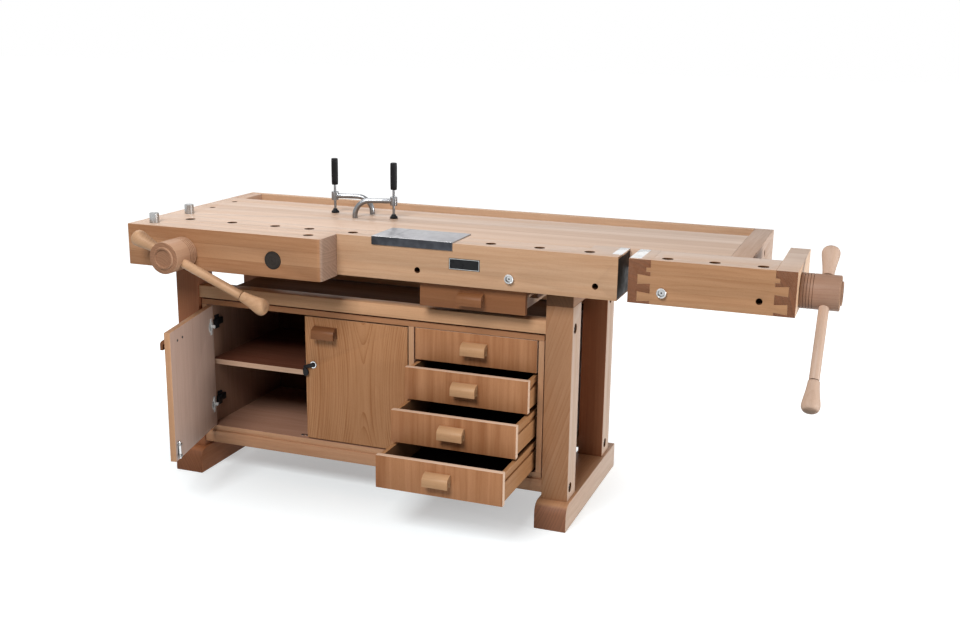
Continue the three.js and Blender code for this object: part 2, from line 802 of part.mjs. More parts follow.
// Front vise: the jaw, the guide bar with its cap, and the nut behind the apron
const jawOutline = new THREE.Shape();
const jawCornerX = jawLength - jawCornerRadius;
jawOutline.moveTo(0, -jawThickness);
jawOutline.lineTo(jawCornerX, -jawThickness);
jawOutline.absarc(jawCornerX, jawCornerRadius - jawThickness, jawCornerRadius, -Math.PI / 2, 0);
jawOutline.lineTo(jawLength, 0);
jawOutline.lineTo(0, 0);
const jawRowY = -jawThickness / 2;
const capPocketBack = guideCapThickness - guideCapProud - jawThickness;
const jawCuts = [
  dogHole(crossRowX, jawRowY, jawHeight + cutPast),
  dogHole(jawLength - jawHoleFromEnd, jawRowY, jawHeight + cutPast),
  barY(frontScrewX, frontScrewZ, screwRadius + runningGap, -jawThickness - cutPast, cutPast),
  barY(guideX, frontScrewZ, guideRadius + touchGap, -jawThickness - cutPast, cutPast),
  barY(guideX, frontScrewZ, guideCapRadius + touchGap, -jawThickness - cutPast, capPocketBack),
];
add('front_vise_jaw', cut(prismZ(jawOutline, jawBottom, topHeight), ...jawCuts), beech);
const guideCapFront = -jawThickness - guideCapProud;
const guideCapBack = guideCapFront + guideCapThickness - touchGap;
const guideBar = join(
  barY(guideX, frontScrewZ, guideCapRadius, guideCapFront, guideCapBack),
  barY(guideX, frontScrewZ, guideRadius, guideCapFront + overlapForJoin, guideRear),
);
add('front_vise_guide_bar', guideBar, darkSteel);
const nutHalfHeight = slabBottom - frontScrewZ;
const nutBlock = box(
  frontScrewX - nutWidth / 2,
  frontScrewX + nutWidth / 2,
  apronDepth,
  apronDepth + nutDepth,
  frontScrewZ - nutHalfHeight,
  slabBottom,
);
const nutThread = barY(
  frontScrewX,
  frontScrewZ,
  screwRadius + runningGap,
  apronDepth - cutPast,
  apronDepth + nutDepth + cutPast,
);
add('front_vise_nut', cut(nutBlock, nutThread), darkSteel);

// Hub, screw and sliding handle of one vise, in a group with the screw's axis along Z from the jaw's face
// and the handle along X, its upper knob towards +X
const hubBase = touchGap;
const hubFace = hubBase + hubLength;
const hubProfile = [[0, hubBase], [hubRadius, hubBase]];
for (let groove = 0; groove < hubGrooveCount; groove += 1) {
  const height = hubBase + hubGrooveStart + groove * hubGroovePitch;
  hubProfile.push([hubRadius, height - hubGrooveWidth / 2]);
  hubProfile.push([hubRadius - hubGrooveDepth, height]);
  hubProfile.push([hubRadius, height + hubGrooveWidth / 2]);
}
hubProfile.push([hubRadius, hubFace]);
hubProfile.push([hubNoseRadius, hubFace]);
hubProfile.push([hubNoseRadius, hubFace + hubNoseLength]);
hubProfile.push([hubDishRadius, hubFace + hubNoseLength]);
hubProfile.push([hubDishRadius, hubFace + hubNoseLength - hubDishDepth]);
hubProfile.push([0, hubFace + hubNoseLength - hubDishDepth]);

const handleTop = hubRadius + 2 * runningGap + handleKnobLength;
const handleBottom = handleTop - handleLength;
const knobArc = Array.from({ length: knobSteps }, (_, step) => {
  const angle = (step / knobSteps) * (Math.PI / 2);
  return [handleKnobRadius * Math.cos(angle), handleKnobCrown * Math.sin(angle)];
});
const knobWaist = handleTop - handleKnobLength;
const handleProfile = [
  [0, handleBottom],
  ...knobArc.map(([radius, rise]) => [radius, handleBottom + handleKnobCrown - rise]).reverse(),
  [handleRadius, handleBottom + handleKnobLength],
  [handleRadius, knobWaist],
  ...knobArc.map(([radius, rise]) => [radius, handleTop - handleKnobCrown + rise]),
  [0, handleTop],
];

function addScrew(name, group, screwEnd) {
  const hub = cut(
    turned(hubProfile, hubSides),
    barZ(0, 0, screwRadius + touchGap, hubBase - cutPast, screwSocketDepth),
    barX(0, handleHoleFromBase, handleRadius + runningGap, -hubRadius - cutPast, hubRadius + cutPast),
  );
  add(`${name}_hub`, hub, paleBeech, group);
  add(`${name}_screw`, barZ(0, 0, screwRadius, screwEnd, screwSocketDepth - touchGap), steel, group);
  const handle = new THREE.Group();
  handle.position.set(0, 0, handleHoleFromBase);
  handle.rotation.y = Math.PI / 2;
  group.add(handle);
  add(`${name}_handle`, turned(handleProfile), paleBeech, handle);
}

function screwGroup(place, outward, towardsKnob) {
  const group = new THREE.Group();
  const across = outward.clone().cross(towardsKnob);
  const turn = new THREE.Matrix4().makeBasis(towardsKnob, across, outward);
  group.quaternion.setFromRotationMatrix(turn);
  group.position.copy(place);
  bench.add(group);
  return group;
}
const frontSlope = THREE.MathUtils.degToRad(frontHandleSlope);
const frontKnob = new THREE.Vector3(-Math.cos(frontSlope), 0, Math.sin(frontSlope));
const frontPlace = new THREE.Vector3(frontScrewX, -jawThickness, frontScrewZ);
const frontScrew = screwGroup(frontPlace, alongY.clone().negate(), frontKnob);
addScrew('front_vise', frontScrew, -jawThickness - frontScrewRear);

// Tail vise: a cheek with a covering ledge, dovetailed into a jaw block and an end arm
const dovetails = [
  { rise: lowerTailRise, root: dovetailRoot, length: dovetailLength, flare: dovetailFlare },
  { rise: upperTailRise, root: dovetailRoot, length: dovetailLength, flare: dovetailFlare },
  { rise: tongueRise, root: tongueSize, length: tongueSize, flare: 0 },
];
function tails(shoulder, outward, grow) {
  return dovetails.map(({ rise, root, length, flare }) => {
    const bottom = tailBottom + rise - grow;
    const top = tailBottom + rise + root + grow;
    const start = shoulder - outward * overlapForJoin;
    const end = shoulder + outward * (length + grow);
    const side = outline([
      [start, bottom + flare],
      [end, bottom],
      [end, top + 2 * flare],
      [start, top + flare],
    ]);
    return prismY(side, grow ? -cutPast : 0, cheekThickness + grow);
  });
}
const cheekOutline = outline([
  [0, tailBottom],
  [cheekThickness, tailBottom],
  [cheekThickness, topHeight - cheekCoverThickness],
  [tailDepth, topHeight - cheekCoverThickness],
  [tailDepth, topHeight],
  [0, topHeight],
]);
const tailDogs = Array.from({ length: tailDogCount }, (_, step) => {
  return dogHole(tailLeft + tailDogStart + step * tailDogPitch, cheekThickness / 2, tailDogDepth);
});
const cheekPegX = tailLeft + cheekPegFromJaw;
const cheekPegs = [cheekPegX, tailLeft + cheekPegHoleFromJaw].map(pegHole);
const cheekBody = join(
  prismX(cheekOutline, jawBlockRight, armLeft),
  ...tails(jawBlockRight, -1, 0),
  ...tails(armLeft, 1, 0),
);
add('tail_vise_cheek', cut(cheekBody, ...tailDogs, ...cheekPegs), beech);
const jawBlock = box(tailLeft, jawBlockRight, 0, tailDepth, tailBottom, topHeight);
add('tail_vise_jaw_block', cut(jawBlock, ...tails(jawBlockRight, -1, touchGap)), darkBeech);
const arm = box(armLeft, tailRight, 0, armDepth, tailBottom, topHeight);
const armScrewHole = barX(
  tailScrewY,
  tailScrewZ,
  screwRadius + runningGap,
  armLeft - cutPast,
  tailRight + cutPast,
);
const armGuideHole = barX(
  tailGuideY,
  tailGuideZ,
  tailGuideRadius + touchGap,
  armLeft - cutPast,
  armLeft + tailGuideSocket + touchGap,
);
const armSockets = tails(armLeft, 1, touchGap);
add('tail_vise_arm', cut(arm, ...armSockets, armScrewHole, armGuideHole), darkBeech);
const tailGuideRight = armLeft + tailGuideSocket;
const tailGuideLeft = tailGuideRight - tailGuideLength;
const tailGuideBar = barX(tailGuideY, tailGuideZ, tailGuideRadius, tailGuideLeft, tailGuideRight);
add('tail_vise_guide_bar', tailGuideBar, steel);

// Nut block fixed to the end cap's front, reaching into the hollow of the tail vise
const tailNutTop = topHeight - cheekCoverThickness - tailNutClear;
const tailNut = box(
  slabLength,
  endCapRight,
  cheekThickness + tailNutClear,
  tailDepth,
  tailNutTop - tailNutHeight,
  tailNutTop,
);
const tailNutThread = barX(
  tailScrewY,
  tailScrewZ,
  screwRadius + runningGap,
  slabLength - cutPast,
  endCapRight + cutPast,
);
add('tail_vise_nut_block', cut(tailNut, tailNutThread), darkBeech);
const tailSlope = THREE.MathUtils.degToRad(tailHandleSlope);
const tailKnob = new THREE.Vector3(0, Math.cos(tailSlope), Math.sin(tailSlope));
const tailPlace = new THREE.Vector3(tailRight, tailScrewY, tailScrewZ);
addScrew('tail_vise', screwGroup(tailPlace, alongX, tailKnob), -tailScrewLength);

// Round steel dogs standing in the jaw and in the top
function addDog(name, x, y) {
  const base = topHeight - dogShank;
  const top = topHeight + dogRise;
  const dog = turned([
    [0, base],
    [dogRadius, base],
    [dogRadius, top - dogChamfer],
    [dogRadius - dogChamfer, top],
    [0, top],
  ]);
  const group = new THREE.Group();
  group.position.set(x, y, 0);
  bench.add(group);
  add(name, dog, steel, group);
}
addDog('jaw_dog', crossRowX, jawRowY);
addDog('top_dog', crossRowX, crossRowStart);

// Steel side pegs: a round head on a stem in the front holes
function addPeg(name, x) {
  const head = barY(x, pegRowZ, pegHeadRadius, -touchGap - pegHeadLength, -touchGap);
  const stem = barY(x, pegRowZ, pegStemRadius, -touchGap - overlapForJoin, pegStemLength, holeSides);
  add(name, join(head, stem), steel);
}
addPeg('apron_peg', apronPegX);
addPeg('cheek_peg', cheekPegX);

// Hold-downs: a bar bent over from its hole, with a boss for the clamping screw, its pad and its grip
const barSection = new THREE.Shape().absarc(0, 0, holdDownBarRadius, 0, 2 * Math.PI);
const bendHandle = circleHandle * holdDownBend;
const armZ = topHeight + holdDownArmRise;
function holdDownBar() {
  const bendBottom = armZ - holdDownBend;
  const path = new THREE.CurvePath();
  const foot = new THREE.Vector3(0, 0, slabBottom - holdDownTail);
  const bendStart = new THREE.Vector3(0, 0, bendBottom);
  const bendEnd = new THREE.Vector3(holdDownBend, 0, armZ);
  const tip = new THREE.Vector3(holdDownReach - holdDownBossRadius + overlapForJoin, 0, armZ);
  path.add(new THREE.LineCurve3(foot, bendStart));
  path.add(
    new THREE.CubicBezierCurve3(
      bendStart,
      new THREE.Vector3(0, 0, bendBottom + bendHandle),
      new THREE.Vector3(holdDownBend - bendHandle, 0, armZ),
      bendEnd,
    ),
  );
  path.add(new THREE.LineCurve3(bendEnd, tip));
  return solid(
    new THREE.ExtrudeGeometry(barSection, { steps: bendSteps, curveSegments: bendSides, extrudePath: path }),
  );
}
for (const { name, x, y, turn } of holdDowns) {
  const group = new THREE.Group();
  group.position.set(x, y, 0);
  group.rotation.z = THREE.MathUtils.degToRad(turn);
  bench.add(group);
  const clamp = new THREE.Group();
  clamp.position.set(holdDownReach, 0, 0);
  group.add(clamp);
  const bossBottom = armZ - holdDownBossHeight / 2;
  const bossTop = armZ + holdDownBossHeight / 2;
  const boss = barZ(holdDownReach, 0, holdDownBossRadius, bossBottom, bossTop);
  const bossHoleRadius = holdDownScrewRadius + runningGap;
  const bossHole = barZ(holdDownReach, 0, bossHoleRadius, bossBottom - cutPast, bossTop + cutPast);
  add(`${name}_arm`, cut(join(boss, holdDownBar()), bossHole), steel, group);
  const padBase = topHeight + touchGap;
  const padTop = padBase + holdDownPadHeight;
  const pad = turned([
    [0, padBase],
    [holdDownPadRadius, padBase],
    [holdDownPadRadius, padBase + holdDownPadHeight / 3],
    [holdDownScrewRadius + touchGap, padTop],
    [0, padTop],
  ]);
  add(`${name}_pad`, pad, blackGrip, clamp);
  const gripBase = topHeight + holdDownGripRise;
  const gripTop = gripBase + holdDownGripLength;
  const screw = turned([
    [0, padTop + touchGap],
    [holdDownScrewRadius, padTop + touchGap],
    [holdDownScrewRadius, gripBase],
    [holdDownGripRadius - dogChamfer, gripBase],
    [holdDownGripRadius, gripBase + dogChamfer],
    [holdDownGripRadius, gripTop - dogChamfer],
    [holdDownGripRadius - dogChamfer, gripTop],
    [0, gripTop],
  ]);
  add(`${name}_screw`, screw, blackGrip, clamp);
}

export default bench;
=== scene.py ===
from math import cos, radians, sin

import bpy
from mathutils import Matrix, Vector


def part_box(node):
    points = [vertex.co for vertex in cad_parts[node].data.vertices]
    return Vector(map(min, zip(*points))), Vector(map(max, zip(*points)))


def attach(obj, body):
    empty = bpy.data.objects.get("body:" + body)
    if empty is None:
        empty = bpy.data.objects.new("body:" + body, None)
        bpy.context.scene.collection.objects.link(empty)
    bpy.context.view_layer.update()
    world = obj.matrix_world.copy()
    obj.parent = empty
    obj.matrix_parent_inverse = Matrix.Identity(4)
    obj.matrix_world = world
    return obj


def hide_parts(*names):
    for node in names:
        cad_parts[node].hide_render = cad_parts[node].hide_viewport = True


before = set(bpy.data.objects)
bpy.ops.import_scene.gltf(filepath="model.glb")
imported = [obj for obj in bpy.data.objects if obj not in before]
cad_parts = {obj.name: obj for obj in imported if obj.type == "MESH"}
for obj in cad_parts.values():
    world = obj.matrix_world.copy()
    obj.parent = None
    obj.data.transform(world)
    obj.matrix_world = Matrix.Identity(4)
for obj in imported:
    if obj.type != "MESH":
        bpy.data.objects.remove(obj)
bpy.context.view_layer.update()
bpy.ops.object.select_all(action="DESELECT")

# Studio
# A matt floor runs out into a white backdrop, under a large soft lamp at the upper front, one low at the
# right and a small one over the top's left end. The camera stands at the right front, above the top. The
# floor glows for the camera, and its glow is weaker round the bench: a painted shade that greys the floor
# there.
DATUM = Vector((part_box("bench_top")[0].x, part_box("front_apron")[0].y, 0))
UPWARD = Vector((0, 0, 1))


def at(x, y, z):
    """A place in millimetres from the apron's left front corner, at floor level, as a point of the frame."""
    return DATUM + Vector((x, y, z)) / 1000


def wired(tree, kind, setup=None, inputs=None):
    """A node with its settings, and with each input set to a value or joined to another node's socket."""
    node = tree.nodes.new(kind)
    for key, value in (setup or {}).items():
        setattr(node, key, value)
    for key, value in (inputs or {}).items():
        if isinstance(value, bpy.types.NodeSocket):
            tree.links.new(value, node.inputs[key])
        else:
            node.inputs[key].default_value = value
    return node


def calc(tree, operation, first, second=0.0, third=0.0):
    """The result of one sum, from numbers or from other nodes' sockets."""
    node = wired(tree, "ShaderNodeMath", {"operation": operation}, {0: first, 1: second, 2: third})
    return node.outputs[0]


def seen_directly(tree):
    """1 where a ray comes from the camera, a mirror or a glass, and 0 where it lights a surface."""
    path = tree.nodes.new("ShaderNodeLightPath")
    straight = calc(tree, "MAXIMUM", path.outputs["Is Camera Ray"], path.outputs["Is Transmission Ray"])
    return calc(tree, "MAXIMUM", straight, path.outputs["Is Glossy Ray"])


def new_finish(name):
    """A material with its tree of nodes, its shader and the node that gives places on the object."""
    finish = bpy.data.materials.new(name)
    finish.use_nodes = True
    tree = finish.node_tree
    return finish, tree, tree.nodes["Principled BSDF"], tree.nodes.new("ShaderNodeTexCoord")


studio_floor_size = 60.0
glow_scale = (0.84, 1.82, 1.0)
glow_shift = (0.387, -0.008, 0.0)
glow_start = 0.05
glow_end = 1.75
least_glow = 0.37
bpy.ops.mesh.primitive_plane_add(size=studio_floor_size, location=(0, 0, 0))
studio_floor = bpy.context.object
studio_floor.name = "studio_floor"
floor_paint, floor_tree, floor_shader, floor_place = new_finish("floor_paint")
floor_shader.inputs["Base Color"].default_value = (0.58, 0.63, 0.65, 1)
floor_shader.inputs["Roughness"].default_value = 0.9
floor_shader.inputs["Specular IOR Level"].default_value = 0.1
floor_shader.inputs["Emission Color"].default_value = (1, 1, 1, 1)
floor_spread = wired(floor_tree, "ShaderNodeMapping", inputs={
    "Vector": floor_place.outputs["Object"], "Scale": glow_scale, "Location": glow_shift})
floor_reach = wired(floor_tree, "ShaderNodeVectorMath", {"operation": "LENGTH"},
                    {0: floor_spread.outputs[0]})
# The glow is weakest round the bench, a painted shade on the floor there, and rises to white further out.
floor_run_out = wired(floor_tree, "ShaderNodeMapRange", {"clamp": True, "interpolation_type": "SMOOTHSTEP"},
                      {0: floor_reach.outputs["Value"], 1: glow_start, 2: glow_end, 3: least_glow, 4: 1.0})
floor_glow = calc(floor_tree, "MULTIPLY", seen_directly(floor_tree), floor_run_out.outputs[0])
floor_tree.links.new(floor_glow, floor_shader.inputs["Emission Strength"])
studio_floor.data.materials.append(floor_paint)

world = bpy.data.worlds.new("studio_air")
bpy.context.scene.world = world
world.use_nodes = True
air = world.node_tree
air_light = 0.035
air_strength = calc(air, "MULTIPLY_ADD", seen_directly(air), 1 - air_light, air_light)
air.links.new(air_strength, air.nodes["Background"].inputs["Strength"])
air.nodes["Background"].inputs["Color"].default_value = (1, 1, 1, 1)


def soft_lamp(name, place, aim, width, height, power):
    """A rectangular lamp turned to its aim, with its sides in metres and its power in watts."""
    bpy.ops.object.light_add(type="AREA", location=place)
    lamp = bpy.context.object
    lamp.name = name
    lamp.data.shape = "RECTANGLE"
    lamp.data.size = width
    lamp.data.size_y = height
    lamp.data.energy = power
    lamp.rotation_euler = (Vector(aim) - Vector(place)).to_track_quat("-Z", "Y").to_euler()


soft_lamp("key_lamp", (-0.35, -4.3, 4.4), aim=(0.0, 0.0, 0.5), width=2.4, height=2.0, power=281)
soft_lamp("top_lamp", (-1.4, 0.6, 2.8), aim=(-0.5, 0.1, 0.86), width=1.6, height=1.6, power=28)
soft_lamp("right_lamp", (8.0, -0.4, 0.9), aim=(0.6, 0.0, 0.45), width=3.4, height=2.4, power=480)

camera_place = at(2290.7, -3127.1, 1495.0)
camera_turn = radians(20.2)
camera_dip = radians(14.4)
camera_roll = radians(-0.8)
camera_focal = 1175.5
image_width = 960
sensor_width = 36.0
forward = Vector((-sin(camera_turn) * cos(camera_dip), cos(camera_turn) * cos(camera_dip), -sin(camera_dip)))
level_right = forward.cross(UPWARD).normalized()
level_down = forward.cross(level_right)
image_right = cos(camera_roll) * level_right + sin(camera_roll) * level_down
image_down = cos(camera_roll) * level_down - sin(camera_roll) * level_right
camera_data = bpy.data.cameras.new("photo_camera")
camera_data.sensor_width = sensor_width
camera_data.lens = camera_focal * sensor_width / image_width
camera_data.dof.use_dof = False
camera = bpy.data.objects.new("photo_camera", camera_data)
bpy.context.scene.collection.objects.link(camera)
camera_axes = Matrix((image_right, -image_down, -forward)).transposed()
camera.matrix_world = Matrix.Translation(camera_place) @ camera_axes.to_4x4()
bpy.context.scene.camera = camera
bpy.context.scene.view_settings.view_transform = "Standard"

# Feet
# Two sledge feet of solid beech on which the trestles stand. Each is sawn from one balk, with its toe
# rounded over at the front and its arrises eased with a plane.


def apply_moves():
    """Makes the active piece's place, turn and size a part of its mesh."""
    bpy.ops.object.transform_apply(location=True, rotation=True, scale=True)


def board(name, low, high):
    """A squared-up block between two corners."""
    bpy.ops.mesh.primitive_cube_add(size=1, location=(low + high) / 2)
    piece = bpy.context.object
    piece.name = name
    piece.scale = high - low
    apply_moves()
    return piece


def edit_all():
    """Opens the active piece for editing, with all of it selected."""
    bpy.ops.object.mode_set(mode="EDIT")
    bpy.ops.mesh.select_all(action="SELECT")


def select_edges(piece, wanted):
    """Leaves the piece in edit mode with those edges selected whose two ends pass the test."""
    bpy.context.view_layer.objects.active = piece
    bpy.ops.object.mode_set(mode="EDIT")
    bpy.ops.mesh.select_mode(type="EDGE")
    bpy.ops.mesh.select_all(action="DESELECT")
    bpy.ops.object.mode_set(mode="OBJECT")
    points = piece.data.vertices
    for edge in piece.data.edges:
        edge.select = wanted(points[edge.vertices[0]].co, points[edge.vertices[1]].co)
    bpy.ops.object.mode_set(mode="EDIT")


def round_over(piece, wanted, radius, segments=10):
    """Rounds chosen edges to a radius in millimetres."""
    select_edges(piece, wanted)
    bpy.ops.mesh.bevel(offset=radius / 1000, segments=segments, affect="EDGES", profile=0.5)
    bpy.ops.object.mode_set(mode="OBJECT")


def ease(piece, width, segments=2, sharp=40):
    """Breaks all sharp arrises by a width in millimetres, as a plane or sandpaper does."""
    bpy.ops.object.select_all(action="DESELECT")
    piece.select_set(True)
    bpy.context.view_layer.objects.active = piece
    edit_all()
    bpy.ops.mesh.remove_doubles(threshold=2e-6)
    bpy.ops.mesh.dissolve_limited(angle_limit=radians(0.3))
    bpy.ops.object.mode_set(mode="OBJECT")
    arris = piece.modifiers.new("arris", "BEVEL")
    arris.width = width / 1000
    arris.segments = segments
    arris.limit_method = "ANGLE"
    arris.angle_limit = radians(sharp)
    bpy.ops.object.modifier_apply(modifier=arris.name)
    bpy.ops.object.shade_smooth_by_angle(angle=radians(35))
    return piece


def combine(piece, other, operation):
    """Joins a second shape to the piece, or takes it away from it, and clears the second one up."""
    bpy.context.view_layer.objects.active = piece
    change = piece.modifiers.new("change", "BOOLEAN")
    change.operation = operation
    change.solver = "EXACT"
    change.object = other
    bpy.ops.object.modifier_apply(modifier=change.name)
    bpy.data.objects.remove(other)


def cut_away(piece, tool):
    """Removes the tool's shape from the piece."""
    combine(piece, tool, "DIFFERENCE")


def set_along(piece, place, way):
    """Moves a new piece to its place, with its height along a way."""
    piece.matrix_world = Matrix.Translation(place) @ way.to_track_quat("Z", "Y").to_matrix().to_4x4()
    apply_moves()


def drill(piece, start, end, radius, sides=48):
    """Bores a round hole of a radius in millimetres between two points."""
    bpy.ops.mesh.primitive_cylinder_add(vertices=sides, radius=radius / 1000, depth=(end - start).length)
    bit = bpy.context.object
    set_along(bit, (start + end) / 2, end - start)
    cut_away(piece, bit)


def fit(piece, finish, body="root", node=None):
    """Gives a piece its finish and fixes it to a body, in the place of a node where it stands for one."""
    piece.data.materials.clear()
    piece.data.materials.append(finish)
    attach(piece, body)
    if node:
        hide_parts(node)
    return piece


def tint(tree, share, under, over):
    """One colour laid over another by a share from 0 to 1."""
    node = wired(tree, "ShaderNodeMix", {"data_type": "RGBA"}, {0: share, 6: under, 7: over})
    return node.outputs[2]


def spread(tree, value, low, high, from_low=0.0, from_high=1.0):
    """A value carried from one range to another, and held at its ends."""
    node = wired(tree, "ShaderNodeMapRange", {"clamp": True},
                 {0: value, 1: from_low, 2: from_high, 3: low, 4: high})
    return node.outputs[0]


def stretched(tree, coords, grain, along, across):
    """Coordinates that run slowly along the grain and quickly across it."""
    scale = [across, across, across]
    scale[grain] = along
    return wired(tree, "ShaderNodeMapping", inputs={"Vector": coords, "Scale": scale}).outputs[0]


def cloudy(tree, coords, grain, along, across):
    """Soft noise drawn out along the grain, with its changes per metre along and across it."""
    node = wired(tree, "ShaderNodeTexNoise", inputs={
        "Vector": stretched(tree, coords, grain, along, across), "Scale": 1.0, "Detail": 2.0,
        "Roughness": 0.55})
    return calc(tree, "SUBTRACT", node.outputs["Fac"], 0.5)


def wire_shader(tree, shader, colour, rough, height, strength, depth):
    """Joins a colour, a roughness and a relief with its depth in metres to a finish's shader."""
    relief = wired(tree, "ShaderNodeBump", inputs={
        "Strength": strength, "Distance": depth, "Height": height})
    for key, value in (("Base Color", colour), ("Roughness", rough), ("Normal", relief.outputs[0])):
        tree.links.new(value, shader.inputs[key])


ALONG_X, ALONG_Y, ALONG_Z = 0, 1, 2
COMMON_HEARTS = (at(0, 320, 20), at(700, 0, 300), at(600, 800, 0))


def beech(name, pale, deep, grain, heart=None, ring=9.0, lines=0.4, streaks=0.7, fineness=1.0, wander=0.6,
          stave=None, slant=None, bow=0.0, gloss=0.45, shine=0.2, end=None):
    """Beech with growth rings about the heart of its log, and streaks, fibres and flecks along its grain. A
    stave is the axis across which it is glued up and the width of each strip, in millimetres. A slant turns
    the grain, and a bow makes its lines arch along the board, as on one that is sawn close to the heart."""
    finish, tree, shader, place = new_finish(name)
    shader.inputs["Specular IOR Level"].default_value = shine
    coords = place.outputs["Object"]
    facing = place.outputs["Normal"]
    if heart is None:
        heart = COMMON_HEARTS[grain]
    if stave:
        axis, width = stave
        split = wired(tree, "ShaderNodeSeparateXYZ", inputs={0: coords})
        step = calc(tree, "DIVIDE", split.outputs[axis], width / 1000)
        chance = wired(tree, "ShaderNodeTexWhiteNoise", {"noise_dimensions": "1D"},
                       {"W": calc(tree, "FLOOR", step)})
        shift = wired(tree, "ShaderNodeVectorMath", {"operation": "SCALE"},
                      {0: chance.outputs["Color"], "Scale": 7.0})
        moved = wired(tree, "ShaderNodeVectorMath", {"operation": "ADD"}, {0: coords, 1: shift.outputs[0]})
        coords = moved.outputs[0]
    if slant:
        coords = wired(tree, "ShaderNodeMapping", inputs={"Vector": coords, "Rotation": slant}).outputs[0]
        facing = wired(tree, "ShaderNodeMapping", inputs={"Vector": facing, "Rotation": slant}).outputs[0]
    offset = wired(tree, "ShaderNodeVectorMath", {"operation": "SUBTRACT"}, {0: coords, 1: heart})
    centred = offset.outputs[0]
    off_axis = wired(tree, "ShaderNodeVectorMath", {"operation": "LENGTH"},
                     {0: stretched(tree, centred, grain, 0.0, 1.0)})
    waves = cloudy(tree, coords, grain, 1.8, 7.0)
    radius = calc(tree, "MULTIPLY_ADD", waves, 0.05 * wander, off_axis.outputs["Value"])
    ripples = cloudy(tree, coords, grain, 9.0, 60.0)
    radius = calc(tree, "MULTIPLY_ADD", ripples, 0.006 * wander, radius)
    if bow:
        along = wired(tree, "ShaderNodeSeparateXYZ", inputs={0: centred}).outputs[grain]
        radius = calc(tree, "MULTIPLY_ADD", calc(tree, "MULTIPLY", along, along), bow, radius)
    year = calc(tree, "DIVIDE", radius, ring / 1000)
    weather = wired(tree, "ShaderNodeTexNoise", {"noise_dimensions": "1D"}, {
        "W": calc(tree, "MULTIPLY", year, 0.4), "Scale": 1.0, "Detail": 1.0})
    year = calc(tree, "MULTIPLY_ADD", weather.outputs["Fac"], 2.0, year)
    late_wood = calc(tree, "POWER", calc(tree, "FRACT", year), 3.5)
    strength = spread(tree, cloudy(tree, coords, grain, 2.5, 24.0), 0.1, 1.0, -0.18, 0.2)
    line = calc(tree, "MULTIPLY", late_wood, strength)
    fibre = cloudy(tree, coords, grain, 24.0, 560.0)
    tone = calc(tree, "MULTIPLY_ADD", cloudy(tree, coords, grain, 1.4, 20.0), 1.5 * streaks, 0.42)
    narrow = cloudy(tree, coords, grain, 4.5 * fineness, 105.0 * fineness)
    tone = calc(tree, "MULTIPLY_ADD", narrow, 1.3 * streaks, tone)
    tone = calc(tree, "MULTIPLY_ADD", fibre, 0.8 * streaks * fineness, tone)
    tone = calc(tree, "MULTIPLY_ADD", line, lines, tone)
    if stave:
        tone = calc(tree, "MULTIPLY_ADD", calc(tree, "SUBTRACT", chance.outputs["Value"], 0.5), 0.7, tone)
    colour = tint(tree, spread(tree, tone, 0.0, 1.0), (*pale, 1), (*deep, 1))
    fleck = wired(tree, "ShaderNodeTexVoronoi", {"feature": "F1"}, {
        "Vector": stretched(tree, coords, grain, 110.0, 520.0), "Scale": 1.0, "Randomness": 1.0})
    speck = spread(tree, fleck.outputs["Distance"], 0.22, 0.0, 0.12, 0.30)
    fleck_colour = tuple(0.5 * part for part in deep)
    colour = tint(tree, speck, colour, (*fleck_colour, 1))
    if stave:
        joint_line = calc(tree, "PINGPONG", step, 0.5)
        glue = spread(tree, joint_line, 0.4, 0.0, 0.0, 0.022)
        colour = tint(tree, glue, colour, (*fleck_colour, 1))
    looks = wired(tree, "ShaderNodeSeparateXYZ", inputs={0: facing})
    end_share = spread(tree, calc(tree, "ABSOLUTE", looks.outputs[grain]), 0.0, 1.0, 0.55, 0.8)
    end_deep = end or tuple(0.55 * part for part in deep)
    end_pale = tuple(1.4 * part for part in end_deep)
    end_colour = tint(tree, calc(tree, "FRACT", year), (*end_pale, 1), (*end_deep, 1))
    end_colour = tint(tree, spread(tree, fibre, 0.0, 0.35, -0.1, 0.25), end_colour, (*fleck_colour, 1))
    rough = calc(tree, "MULTIPLY_ADD", end_share, 0.16, spread(tree, tone, gloss - 0.05, gloss + 0.1))
    grain_height = calc(tree, "SUBTRACT", calc(tree, "MULTIPLY_ADD", late_wood, 0.3, fibre), speck)
    wire_shader(tree, shader, tint(tree, end_share, colour, end_colour), rough, grain_height, 0.10, 0.0006)
    return finish


def paint_where(piece, finish, wanted):
    """Gives a further finish to the faces that pass a test."""
    piece.data.materials.append(finish)
    index = len(piece.data.materials) - 1
    for face in piece.data.polygons:
        if wanted(face):
            face.material_index = index


def paint_faces(piece, finish, way, level=None):
    """Gives a further finish to the faces that look one way, or only to those at one distance along it."""
    def looks_that_way(face):
        at_level = level is None or abs(face.center.dot(way) - level) < 4e-4
        return face.normal.dot(way) > 0.9 and at_level

    paint_where(piece, finish, looks_that_way)


RIGHTWARD = Vector((1, 0, 0))
foot_beech = beech("foot_beech", (0.46, 0.245, 0.13), (0.33, 0.155, 0.07), ALONG_Y, shine=0.4,
                   end=(0.19, 0.075, 0.036))
# The left foot gets a darker copy of the foot's beech: a painted shade.
painted_shade_foot_beech = beech("painted_shade_foot_beech", (0.31, 0.12, 0.052), (0.22, 0.08, 0.03), ALONG_Y,
                          end=(0.15, 0.055, 0.024))
